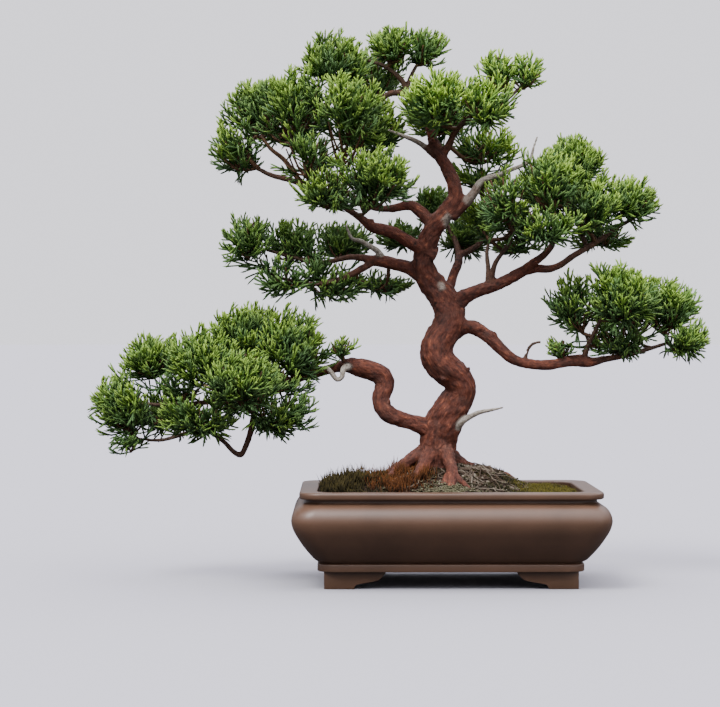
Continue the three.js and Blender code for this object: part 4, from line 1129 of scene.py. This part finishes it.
def knots(points, radius, chance):
    """How far knots stand out at each place, and how dark their middles are."""
    rise, dark = np.zeros(len(points)), np.zeros(len(points))
    for place in points[chance.choice(np.flatnonzero(radius > KNOT_RADIUS), KNOTS, replace=False)]:
        size = chance.uniform(1.1, 2.6)
        spot = np.linalg.norm(points - place, axis=1) / size
        ring = np.exp(-spot ** 2) - 1.3 * np.exp(-(2.6 * spot) ** 2)
        rise += 0.45 * size * ring * np.clip(radius / 5, 0.3, 1)
        dark = np.maximum(dark, np.exp(-(1.7 * spot) ** 2))
    return rise, dark


def scarred(dead, points):
    """The dead share of each place once the pale scars are added."""
    for middle, reach in SCARS:
        spot = np.linalg.norm((points - np.array(middle)) * SCAR_STRETCH, axis=1)
        near = np.flatnonzero(spot < 2 * reach)
        spot[near] += [0.5 * reach * noise.noise(Vector(points[k]) * 0.4) for k in near]
        dead = np.maximum(dead, np.clip((reach - spot) / (0.25 * reach), 0, SCAR_PALENESS))
    return dead


def make_wood(settings):
    chance = np.random.default_rng(SEEDS["wood"])
    table = LimbTable()
    wood, edges, points = blended_wood(settings, table, chance)
    found = table.nearest(points)[0]
    radius, run, limb = found[:, RADIUS], found[:, RUN], np.round(found[:, LIMB]).astype(int)
    names = np.array(list(LIMBS))[limb]
    root, dead = np.char.startswith(names, "root"), np.char.startswith(names, "dead").astype(float)
    offset = points - found[:, LINE]
    side, up, along = ((offset * found[:, axis]).sum(1) for axis in (ACROSS, UPWARD, TANGENT))
    distance = np.hypot(side, up)
    flute = FLUTE_DEPTH * np.sin(3 * np.arctan2(up, side) + FLUTE_TWIST * run)
    wanted = radius * (1 + np.where(np.isin(names, FLUTED), flute, 0))
    push = soften(edges, np.where((np.abs(along) < 0.8) & (distance < wanted), wanted - distance, 0), 2)
    grain = np.column_stack([side, up, GRAIN_STRETCH * run + GRAIN_SHIFT * limb])
    for name, length in BARK_LEFT.items():
        on_base = (names == name) & (run < length + 16)
        dead[on_base] = np.where(run[on_base] < length, 0, 0.6)
    knot_rise, dark = knots(points, radius, chance)
    rise = bark_relief(points, grain, radius, root) + knot_rise
    outward = unit_rows(offset - found[:, TANGENT] * along[:, None])
    points = points + outward * (push + rise * (1 - 0.5 * dead))[:, None]
    set_coordinates(wood, places(points))
    dead = soften(edges, scarred(dead, points), 1)
    young = np.where(root, 0.05, np.clip((3.4 - radius) / 1.8, 0, 1))
    young = soften(edges, young * (1 - dead), 4)
    above = points[:, 2] - ground_height(points[:, 0], points[:, 1])
    dark = np.maximum(dark, np.clip((3 - above) / 6, 0, 0.8)) * (1 - dead)
    set_attribute(wood, "grain", grain * MM, "FLOAT_VECTOR")
    set_attribute(wood, "wood_kind", np.column_stack([dead, young, dark, np.ones(len(points))]))
    start_editing(wood)
    bpy.ops.mesh.dissolve_degenerate(threshold=0.001 * MM)
    bpy.ops.mesh.delete_loose()
    bpy.ops.object.mode_set(mode="OBJECT")
    bpy.ops.object.shade_smooth()
    finish_piece(wood, "juniper_wood", bark_material(), "bark", "wood")


# The foliage

# Forked shoots: a side cord is its share up the main cord, its turn, its lean and its share of the length
FORKS = [
    [(0.2, 0.2, 0.62, 0.42), (0.34, 3.3, 0.56, 0.5), (0.49, 0.0, 0.5, 0.43), (0.63, 3.0, 0.46, 0.33),
     (0.77, 0.5, 0.42, 0.2)],
    [(0.18, 0.4, 0.66, 0.42), (0.32, 2.7, 0.6, 0.52), (0.47, 5.3, 0.52, 0.44), (0.63, 1.4, 0.46, 0.33)],
    [(0.3, 0.2, 0.5, 0.58), (0.46, 3.6, 0.48, 0.46), (0.64, 1.2, 0.42, 0.32), (0.78, 4.4, 0.4, 0.18)],
    [(0.34, 0.3, 0.34, 0.66), (0.6, 3.5, 0.32, 0.4)],
    [(0.24, 0.9, 0.36, 0.7), (0.44, 4.1, 0.34, 0.56), (0.68, 2.2, 0.3, 0.3)],
]
BUSHY = 3
# Short tips on each cord of a fork: the share up the cord, the turn and the length
TIPLETS = [(0.42, 0.9, 0.17), (0.66, 4.0, 0.15)]
GOLDEN_ANGLE = math.pi * (3 - math.sqrt(5))
PAD_BLEND = 3.6
TWIG_SPACING = 7.4
TWIG_PITCH = 3.6
UNDERSIDE = 0.72
# Layers of shoots: the depths that their tips end between, as shares of a branchlet's radius, their
# spacing in millimetres and how fresh they are
LAYERS = [(-0.25, 0.05, 7.5, 1.0), (-0.5, -0.25, 10.5, 0.35)]
SHOOT_LENGTHS = (15, 32)
# Branchlets of each pad, by number, that grow more loosely
LOOSE = {"crown_right": (2, 3, 4), "right_low": (0,), "top": (1,), "upper_left": (7,), "right": (6,),
         "low_left": (1, 9, 11), "left_middle": (0, 2, 3, 4)}
# Bare boughs that show under the foliage, and hollows that it leaves open round them
BOUGHS = {
    "upper_left": [
        [(-146, -4, 318, 2), (-152, -6, 324, 1.8), (-155, -6, 333, 1.5), (-147, -6, 345, 1.1)],
        [(-112, -11, 305, 2.2), (-120, -12, 316, 2), (-127, -14, 325, 1.8), (-137, -16, 333, 1.5),
         (-144, -14, 343, 1)],
        [(-101, -14, 299, 2.2), (-106, -18, 318, 2), (-116, -20, 333, 1.8), (-126, -18, 337, 1.5),
         (-135, -14, 342, 1)]],
    "low_left": [[(-148, -10, 135, 2.3), (-160, -24, 141, 2), (-172, -36, 146, 1.6), (-186, -40, 152, 1.1)]],
}
HOLLOWS = {
    "upper_left": [((-128, -20, 329), (17, 40, 12))],
    "right": [((21, -40, 300), (9, 38, 8)), ((36, -44, 312), (12, 42, 8)), ((52, -44, 319), (11, 42, 7)),
              ((65, -40, 332), (6, 36, 11))],
}
# How fresh and yellow-green each pad's shoots are; the crown's share is raised further as painted light, as
# that pad stands in shade
FRESH_AND_PAINTED_LIGHT = {"low_left": 0.95, "left_middle": 0.5, "upper_left": 1.0, "top": 0.9, "crown_right": 1.5,
         "right": 1.0, "right_low": 0.85, "back": 0.45}
FULLNESS = {"low_left": 1.35, "left_middle": 1.25, "upper_left": 1.1, "top": 1.15, "crown_right": 1.2,
            "right": 1.4, "right_low": 1.4, "back": 1.15}
# How much lighter each pad's shoots are painted: painted light on the pads that stand in shade
PAINTED_LIGHT_LIFT = {"crown_right": 0.5, "right": 0.14, "right_low": 0.18, "top": 0.1, "left_middle": 0.08, "back": 0.1}
# Small sprays between the branchlets, placed like them
SPRAYS = {
    "crown_right": [((27, 26, 318), (24, 20, 14)), ((24, 22, 335), (20, 18, 11))],
    "low_left": [((-205, -8, 150), (24, 22, 15)), ((-128, -30, 155), (18, 18, 14)),
                 ((-171, -4, 136), (18, 17, 11))],
    "right_low": [((86, -8, 182), (13, 12, 8)), ((112, -4, 188), (14, 14, 10))],
    "right": [((56, 10, 280), (22, 18, 16)), ((27, 14, 285), (19, 16, 15)), ((53, 16, 260), (20, 15, 9))],
    "left_middle": [((-104, 22, 246), (16, 16, 10)), ((-140, 24, 246), (17, 18, 13)),
                    ((-106, 38, 254), (14, 16, 10)), ((-68, 26, 232), (17, 18, 9))],
    "upper_left": [((-156, 2, 349), (17, 20, 13)), ((-134, -14, 346), (16, 18, 12))],
}
# How far in front of its tip a shoot would best start, and how much it may miss that place by
SHOOT_REACH, MOST_MISS = (18, 28), 13
# A twig's sag and its stem's as shares of their lengths, and the share of shoots that stray out and how far
TWIG_SAG, STEM_SAG, STRAY_SHARE, STRAY_REACH = 0.16, 0.12, 0.14, 0.13
# How ragged a pad's skin is, and how bushy its shoots are at the middle and how much more so upwards
RAGGED, BUSHY_SHARE, BUSHIER_UP = 0.22, 0.62, 0.6
# What a twig's skin says to the foliage's material
TWIG = (0.3, 0.5, 0.3, 1)


def cord(start, direction, length, thickness, steps):
    """One cord-like shoot: a slim three-sided stem that tapers to a tip, extruded step by step."""
    bpy.ops.mesh.primitive_circle_add(
        vertices=3, radius=0.8 * thickness, fill_type="NGON", location=(0, 0, 0))
    shoot = bpy.context.object
    start_editing(shoot)
    for step in range(steps):
        extrude_up(0.82 * length / steps)
        size = 0.94 if step else 1.22
        bpy.ops.transform.resize(value=(size, size, 1))
    extrude_up(0.17 * length)
    bpy.ops.mesh.merge(type="CENTER")
    finish_editing()
    turn = Vector((0, 0, 1)).rotation_difference(Vector(direction)).to_matrix().to_4x4()
    shoot.data.transform(Matrix.Translation(Vector(start)) @ turn)
    return shoot


def leaning(direction, turn, lean):
    """A direction that leans away from another, turned about it."""
    across = unit(np.cross(direction, [0.3, 1, 0.1]))
    side = math.cos(turn) * across + math.sin(turn) * np.cross(direction, across)
    return math.cos(lean) * direction + math.sin(lean) * side


class Fork:
    """A forked shoot of unit length along +Z: where its cords' axes run and how its skin stands off them."""

    def __init__(self, branches):
        up = np.array([0, 0, 1.0])
        cords = [(np.zeros(3), up, 1.0, 1.0, 2)]
        cords += [(up * share, leaning(up, turn, lean), length, 0.92, 1)
                  for share, turn, lean, length in branches]
        for number, (root, direction, length, _, _) in enumerate(cords[:]):
            for share, turn, tiplet in TIPLETS if length > 0.4 else TIPLETS[:1]:
                aim = leaning(direction, turn + 1.3 * number, 0.75)
                cords.append((root + direction * length * share, aim, tiplet, 0.95, 0))
        axes, skins, ages, self.faces, count = [], [], [], [], 0
        for root, direction, *shape in cords:
            piece = cord(root, direction, *shape)
            points = coordinates(piece)
            reach = (points - root) @ direction
            axes.append(root + reach[:, None] * direction)
            skins.append(points - axes[-1])
            begin = 0.75 * root[2]
            ages.append(begin + (1 - begin) * np.clip(reach / reach.max(), 0, 1))
            # A copy's frame mirrors the fork, so its faces are turned round here
            self.faces += [
                [corner + count for corner in reversed(polygon.vertices)] for polygon in piece.data.polygons]
            count += len(points)
            bpy.data.objects.remove(piece)
        self.axes, self.skins, self.ages = np.vstack(axes), np.vstack(skins), np.concatenate(ages)

    def copies(self, bases, tips, arch, turns, tones_and_painted_light, fresh, thickness):
        """Vertices, faces and colours of a copy from each base to its tip, arched along the way."""
        count, size = len(bases), len(self.axes)
        length = np.linalg.norm(tips - bases, axis=1)[:, None]
        along = (tips - bases) / length
        helper = np.where(np.abs(along[:, 2:3]) < 0.9, [[0.0, 0, 1]], [[1.0, 0, 0]])
        across = unit_rows(np.cross(along, helper))
        lift = np.cross(across, along)
        cosine, sine = np.cos(turns)[:, None], np.sin(turns)[:, None]
        frame_x, frame_y = across * cosine + lift * sine, lift * cosine - across * sine
        local = self.axes * length[:, None] + self.skins * thickness
        bulge = 4 * self.axes[:, 2] * (1 - self.axes[:, 2]) * arch[:, None] * length
        vertices = (bases[:, None] + along[:, None] * local[..., 2:3] + frame_x[:, None] * local[..., 0:1]
                    + frame_y[:, None] * local[..., 1:2] + lift[:, None] * bulge[..., None])
        colours = np.stack([np.broadcast_to(channel, (count, size)) for channel in (
            self.ages, tones_and_painted_light[:, None], fresh[:, None], 0.0)], axis=2)
        steps = (np.arange(count) * size)[:, None]
        faces = []
        for corners in sorted({len(face) for face in self.faces}):
            rows = np.array([face for face in self.faces if len(face) == corners])
            faces += (rows + steps[:, None]).reshape(-1, corners).tolist()
        return vertices.reshape(-1, 3), faces, colours.reshape(-1, 4)


def seat_samples():
    """Places on the limbs that bear foliage."""
    bearing = [points for name, points in LIMBS.items() if not name.startswith(BARE)]
    return np.vstack([through(points, 3.0)[2:, :3] for points in bearing])


def pad_depth(points, centres, radii):
    """How far each place is outside a pad, in shares of a radius, and which branchlet is nearest."""
    reach = np.linalg.norm((points[..., None, :] - centres) / radii, axis=-1) - 1
    return -np.log(np.exp(-PAD_BLEND * reach).sum(-1)) / PAD_BLEND, reach.argmin(-1)


def sagging(start, end, sag, step):
    """A curve between two places that sags by a share of its length."""
    drop = np.array([0, 0, -sag * np.linalg.norm(end - start)])
    return through([start, (start + end) / 2 + drop, end], step)


def grow_twigs(centre, radii, chance, seats):
    """The woody part of one branchlet: a stem from the nearest limb and twigs that fan out from it."""
    hub = centre - np.array([0, 0, 0.5 * radii[2]])
    stem = sagging(seats[np.linalg.norm(seats - hub, axis=1).argmin()], hub, STEM_SAG, 4.0)
    twigs = [(stem, np.linspace(1.6, 1.1, len(stem)))]
    count = max(6, int(round(np.prod(radii) ** (2 / 3) / TWIG_SPACING ** 2)))
    first = chance.uniform(0, 2 * math.pi)
    for k in range(count):
        height = 0.97 - 1.5 * (k + 0.5) / count
        flat = math.sqrt(max(0.0, 1 - height * height))
        turn = first + k * GOLDEN_ANGLE + chance.normal(0, 0.25)
        aim = np.array([flat * math.cos(turn), flat * math.sin(turn), height])
        end = centre + radii * aim * chance.uniform(0.5, 0.74)
        start = stem[int(chance.uniform(0.4, 1.0) * (len(stem) - 1))]
        twig = sagging(start, end, TWIG_SAG, TWIG_PITCH)
        twigs.append((twig, np.linspace(1.0, 0.55, len(twig))))
    return twigs


def spread_tips(number, centres, radii, levels, spacing, chance):
    """Evenly spread places between two depths of a pad, near one branchlet and fewer on its underside."""
    size = radii[number]
    area = 4 * math.pi * np.mean((size * np.roll(size, -1)) ** 1.6) ** (1 / 1.6)
    count = int(area / spacing ** 2)
    height = 1 - 2 * (np.arange(count) + 0.5) / count
    turn = chance.uniform(0, 2 * math.pi) + np.arange(count) * GOLDEN_ANGLE
    flat = np.sqrt(1 - height ** 2)
    aims = np.column_stack([flat * np.cos(turn), flat * np.sin(turn), height])
    aims += chance.normal(0, 0.1, aims.shape)
    spots = centres[number] + size * aims[:, None] * np.arange(0.3, 1.9, 0.04)[:, None]
    depth, nearest = pad_depth(spots, centres, radii)
    ragged = np.array([noise.noise(Vector(spot) * 0.07) for spot in spots[:, -1]])
    level = levels[0] + (levels[1] - levels[0]) * np.sqrt(chance.uniform(0, 1, count)) + RAGGED * ragged
    level += np.where(chance.uniform(0, 1, count) < STRAY_SHARE, STRAY_REACH, 0)
    outside = depth > level[:, None]
    first = (np.arange(count), outside.argmax(1))
    kept = outside.any(1) & ~outside[:, 0] & (nearest[first] == number)
    kept &= chance.uniform(0, 1, count) < np.clip(UNDERSIDE + height, 0.28, 1)
    return spots[first][kept]


def choose_bases(tips, aims, twig_points, chance):
    """For each tip, the place on a twig that lets a shoot of a fair length grow its way."""
    wanted = tips - aims * chance.uniform(*SHOOT_REACH, len(tips))[:, None]
    miss = np.linalg.norm(wanted[:, None] - twig_points, axis=2)
    length = np.linalg.norm(tips[:, None] - twig_points, axis=2)
    miss += np.where((length < SHOOT_LENGTHS[0]) | (length > SHOOT_LENGTHS[1]), 50, 0)
    return twig_points[miss.argmin(1)], miss.min(1) < MOST_MISS


def make_pad(name, lobes, forks, seats, thickness, chance):
    """One pad's twigs, boughs and shoots, gathered."""
    centres, radii = (np.array([lobe[k] for lobe in lobes], float) for k in (0, 1))
    gathered, twig_points, twigs = Gathered(), [], []
    for centre, size in zip(centres, radii):
        twigs += [(*twig, 4, 4) for twig in grow_twigs(centre, size, chance, seats)]
    boughs = [through(bough, 3.0) for bough in BOUGHS.get(name, [])]
    for line, thick, sides, part in twigs + [(bough[:, :3], bough[:, 3], 7, 2) for bough in boughs]:
        gathered.add(*sweep(line, thick, sides), TWIG)
        twig_points.append(line[len(line) // part:])
    twig_points = np.vstack(twig_points)
    root = centres.mean(0) - [0, 0, 0.7 * np.ptp(centres[:, 2]) + 10]
    for low, high, spacing, freshness in LAYERS:
        for number, (centre, size) in enumerate(zip(centres, radii)):
            loose = 1.3 if number in LOOSE.get(name, ()) else 1
            tips = spread_tips(
                number, centres, radii, (low, high), spacing / FULLNESS[name] ** 0.5 * loose, chance)
            outward = unit_rows((tips - centre) / size)
            aims = unit_rows(0.75 * outward + 0.45 * unit_rows(tips - root) + [0, 0, 0.22]
                             + chance.normal(0, 0.24, tips.shape))
            bases, kept = choose_bases(tips, aims, twig_points, chance)
            for middle, reach in HOLLOWS.get(name, []):
                for share in (0, 0.35, 0.7):
                    spots = tips + (bases - tips) * share
                    kept &= np.linalg.norm((spots - middle) / reach, axis=1) > 1
            tips, bases = tips[kept], bases[kept]
            count = len(tips)
            height = (tips[:, 2] - centre[2]) / size[2]
            clumps = np.array([noise.noise(Vector(tip) * 0.06 + Vector((7, 3, 1))) for tip in tips])
            fresh = FRESH_AND_PAINTED_LIGHT[name] * freshness * np.clip(0.5 + 0.5 * height + 1.2 * clumps, 0.05, 1)
            # Each shoot's brightness: a random tone, with painted light that makes it lighter towards its
            # branchlet's top and on the pads that stand in shade
            tones_and_painted_light = np.clip(0.44 + 0.14 * height + PAINTED_LIGHT_LIFT.get(name, 0) + chance.normal(0, 0.12, count), 0, 1)
            arch = np.where(tips[:, 2] > bases[:, 2], -0.1, 0.12) + chance.normal(0, 0.07, count)
            turns = chance.uniform(0, 2 * math.pi, count)
            bushy = chance.uniform(0, 1, count) < BUSHY_SHARE + BUSHIER_UP * height
            kinds = np.where(
                bushy, chance.integers(0, BUSHY, count), chance.integers(BUSHY, len(forks), count))
            for kind, fork in enumerate(forks):
                mine = kinds == kind
                if mine.any():
                    shoots = (values[mine] for values in (bases, tips, arch, turns, tones_and_painted_light, fresh))
                    gathered.add(*fork.copies(*shoots, thickness))
    return gathered


def make_foliage(settings):
    forks, seats = [Fork(branches) for branches in FORKS], seat_samples()
    material, thickness = foliage_material(settings), settings.shoot_thickness / 2 / MM
    for number, (name, lobes) in enumerate(BRANCHLETS.items()):
        chance = np.random.default_rng(SEEDS["foliage"] + number)
        pad = make_pad(name, lobes + SPRAYS.get(name, []), forks, seats, thickness, chance)
        nodes = [f"foliage_{name}_{k + 1}" for k in range(len(lobes))]
        pad.finish(f"foliage_{name}", material, "juniper_foliage", *nodes)


# The stage

FLOOR_RADIUS = 28
# The lamps: their places, the angles that they spread over and their settings
LAMPS = {"key": ((-1.0, -1.3, 2.2), 24, "key_light"), "fill": ((1.5, -1.4, 1.2), 70, "side_light")}


def make_sky(settings):
    """Soft light all round that grows brighter overhead, with a plain backdrop where the camera looks."""
    world = bpy.data.worlds.new("soft studio")
    world.use_nodes = True
    sky = Nodes(world.node_tree)
    height = sky.node("SeparateXYZ", {0: sky.node("TexCoord").outputs["Generated"]}).outputs["Z"]
    rise = sky.node("MapRange", {"Value": height, "From Min": 0.05, "From Max": 0.95, "To Min": 0.08,
                                 "To Max": 1.0}, interpolation_type="SMOOTHSTEP").outputs["Result"]
    colour = (*settings.backdrop_colour, 1.0)
    cast = sky.node("Background", {"Color": colour, "Strength": sky.times(rise, settings.sky_light)})
    seen = sky.tree.nodes["Background"]
    sky.link(colour, seen.inputs["Color"])
    sky.link(settings.backdrop_light, seen.inputs["Strength"])
    is_seen = sky.node("LightPath").outputs["Is Camera Ray"]
    pick = sky.node("MixShader", {0: is_seen, 1: cast.outputs[0], 2: seen.outputs[0]})
    sky.link(pick.outputs[0], sky.tree.nodes["World Output"].inputs["Surface"])
    bpy.context.scene.world = world


def floor_material(settings):
    """A plain pale floor that throws little light back up, so that what faces down stays dark."""
    shader = Shader("pale floor", roughness=0.9, specular=0.1)
    is_seen = shader.node("LightPath").outputs["Is Camera Ray"]
    cast = (*(settings.floor_bounce * value for value in settings.floor_colour), 1.0)
    shader.colour(shader.mix(is_seen, cast, (*settings.floor_colour, 1.0)))
    return shader.material


def make_stage(settings):
    bpy.ops.mesh.primitive_circle_add(
        vertices=96, radius=FLOOR_RADIUS, fill_type="NGON", location=(0, 0, -0.2 * MM))
    floor = bpy.context.object
    floor.name = "pale_floor"
    bpy.ops.object.transform_apply()
    floor.data.materials.append(floor_material(settings))
    make_sky(settings)
    for name, (place, spread, strength) in LAMPS.items():
        light = bpy.data.lights.new(name, "SUN")
        light.energy = getattr(settings, strength)
        light.angle = math.radians(spread)
        lamp = add_object(name, light)
        lamp.location = place
        lamp.rotation_euler = (-Vector(place)).to_track_quat("-Z", "Y").to_euler()


def make_camera():
    camera = add_object("camera", bpy.data.cameras.new("camera"))
    camera.data.sensor_width = SENSOR
    camera.data.lens = FOCAL_PIXELS * SENSOR / PHOTO_WIDTH
    camera.data.clip_start, camera.data.clip_end = 0.05, 100
    camera.location = at(*CAMERA_FROM_POT)
    right = math.atan((PHOTO_WIDTH / 2 - VANISHING_X) / FOCAL_PIXELS)
    down = math.atan((PHOTO_HEIGHT / 2 - HORIZON_Y) / FOCAL_PIXELS)
    camera.rotation_euler = (math.pi / 2 - down, 0, -right)
    bpy.context.scene.camera = camera


# Settings, operators and panel

COLOUR = {"subtype": "COLOR", "size": 3, "min": 0, "max": 1}
LENGTH = {"unit": "LENGTH", "precision": 5, "min": 0.0005, "max": 0.005}


class PotSettings(bpy.types.PropertyGroup):
    clay_colour: bpy.props.FloatVectorProperty(
        name="Clay colour", description="The fired clay's colour", default=linear(93, 66, 49)[:3], **COLOUR)


class WoodSettings(bpy.types.PropertyGroup):
    bark_voxel: bpy.props.FloatProperty(
        name="Bark detail", description="The size of the cells in which the wood is joined",
        default=1.04 * MM, **LENGTH)


class FoliageSettings(bpy.types.PropertyGroup):
    shoot_thickness: bpy.props.FloatProperty(
        name="Shoot thickness", description="How thick one cord-like shoot is", default=1.7 * MM, **LENGTH)
    shoot_colour: bpy.props.FloatVectorProperty(
        name="Shoot colour", description="Colour of a grown shoot", default=linear(97, 134, 44)[:3], **COLOUR)
    tip_colour: bpy.props.FloatVectorProperty(
        name="Tip colour", description="Colour of a fresh tip", default=linear(142, 172, 64)[:3], **COLOUR)
    cool_colour: bpy.props.FloatVectorProperty(
        name="Cool colour", description="Colour of the duller, bluish shoots",
        default=linear(84, 115, 74)[:3], **COLOUR)
    old_colour: bpy.props.FloatVectorProperty(
        name="Old colour", description="Colour of old scales at a shoot's root",
        default=linear(57, 88, 42)[:3], **COLOUR)


class StageSettings(bpy.types.PropertyGroup):
    floor_colour: bpy.props.FloatVectorProperty(
        name="Floor colour", description="The plain floor's colour", default=(0.452, 0.446, 0.49), **COLOUR)
    floor_bounce: bpy.props.FloatProperty(
        name="Floor bounce", description="The share of its colour that the floor throws back on the object",
        default=0.12, min=0, max=1)
    backdrop_colour: bpy.props.FloatVectorProperty(
        name="Backdrop colour", description="Colour of the light all round",
        default=(0.93, 0.92, 1.0), **COLOUR)
    backdrop_light: bpy.props.FloatProperty(
        name="Backdrop light", description="How bright the plain backdrop looks", default=1.52, min=0, max=5)
    sky_light: bpy.props.FloatProperty(
        name="Sky light", description="Strength of the soft light overhead", default=3.5, min=0, max=10)
    key_light: bpy.props.FloatProperty(
        name="Key light", description="Strength of the soft light from the front left",
        default=2.8, min=0, max=50)
    side_light: bpy.props.FloatProperty(
        name="Side light", description="Strength of the faint light from the front right",
        default=0.6, min=0, max=50)


class BONSAI_OT_pot(bpy.types.Operator):
    """Model the rounded rectangular clay pot on its four scroll feet"""
    bl_idname = "bonsai.pot"
    bl_label = "Clay pot"

    def execute(self, context):
        make_pot(context.scene.bonsai_pot)
        return {"FINISHED"}


class BONSAI_OT_packing(bpy.types.Operator):
    """Give the drain screens and the soil their finishes"""
    bl_idname = "bonsai.packing"
    bl_label = "Drain screens and soil"

    def execute(self, context):
        mesh = plastic_mesh_material()
        for name, material in (("drain_screen_left", mesh), ("drain_screen_right", mesh),
                               ("soil", soil_material())):
            obj = frame["nodes"][name]
            obj.data.materials.clear()
            obj.data.materials.append(material)
        return {"FINISHED"}


class BONSAI_OT_ground(bpy.types.Operator):
    """Model the ground cover: its bed, moss, lichen, grit and dry rootlets"""
    bl_idname = "bonsai.ground"
    bl_label = "Moss and ground"

    def execute(self, context):
        for make in (make_bed, make_moss, make_lichen, make_grit, make_rootlets):
            make()
        return {"FINISHED"}


class BONSAI_OT_wood(bpy.types.Operator):
    """Model the roots, trunk, limbs and bleached dead ends as one piece"""
    bl_idname = "bonsai.wood"
    bl_label = "Trunk and limbs"

    def execute(self, context):
        make_wood(context.scene.bonsai_wood)
        return {"FINISHED"}


class BONSAI_OT_foliage(bpy.types.Operator):
    """Model the pads of foliage from forked, cord-like shoots"""
    bl_idname = "bonsai.foliage"
    bl_label = "Foliage"

    def execute(self, context):
        make_foliage(context.scene.bonsai_foliage)
        return {"FINISHED"}


class BONSAI_OT_stage(bpy.types.Operator):
    """Set the plain floor, the soft light and the camera"""
    bl_idname = "bonsai.stage"
    bl_label = "Stage"

    def execute(self, context):
        make_camera()
        make_stage(context.scene.bonsai_stage)
        return {"FINISHED"}


OPERATORS = (BONSAI_OT_stage, BONSAI_OT_pot, BONSAI_OT_packing, BONSAI_OT_ground, BONSAI_OT_wood,
             BONSAI_OT_foliage)
SETTINGS = (("bonsai_pot", PotSettings), ("bonsai_wood", WoodSettings), ("bonsai_foliage", FoliageSettings),
            ("bonsai_stage", StageSettings))


class BONSAI_PT_panel(bpy.types.Panel):
    """Lists the bonsai's settings and the steps that build it"""
    bl_idname = "BONSAI_PT_panel"
    bl_label = "Juniper bonsai"
    bl_space_type = "VIEW_3D"
    bl_region_type = "UI"
    bl_category = "Bonsai"

    def draw(self, context):
        for field, group in SETTINGS:
            box = self.layout.box()
            for name in group.__annotations__:
                box.prop(getattr(context.scene, field), name)
        for operator in OPERATORS:
            self.layout.operator(operator.bl_idname)


def register():
    for _, group in SETTINGS:
        bpy.utils.register_class(group)
    for operator in OPERATORS:
        bpy.utils.register_class(operator)
    bpy.utils.register_class(BONSAI_PT_panel)
    for field, group in SETTINGS:
        setattr(bpy.types.Scene, field, bpy.props.PointerProperty(type=group))


def unregister():
    for field, _ in SETTINGS:
        delattr(bpy.types.Scene, field)
    bpy.utils.unregister_class(BONSAI_PT_panel)
    for operator in reversed(OPERATORS):
        bpy.utils.unregister_class(operator)
    for _, group in reversed(SETTINGS):
        bpy.utils.unregister_class(group)


def main():
    register()
    bpy.ops.bonsai.stage()
    bpy.ops.bonsai.pot()
    bpy.ops.bonsai.packing()
    bpy.ops.bonsai.ground()
    bpy.ops.bonsai.wood()
    bpy.ops.bonsai.foliage()


if __name__ == "__main__":
    main()
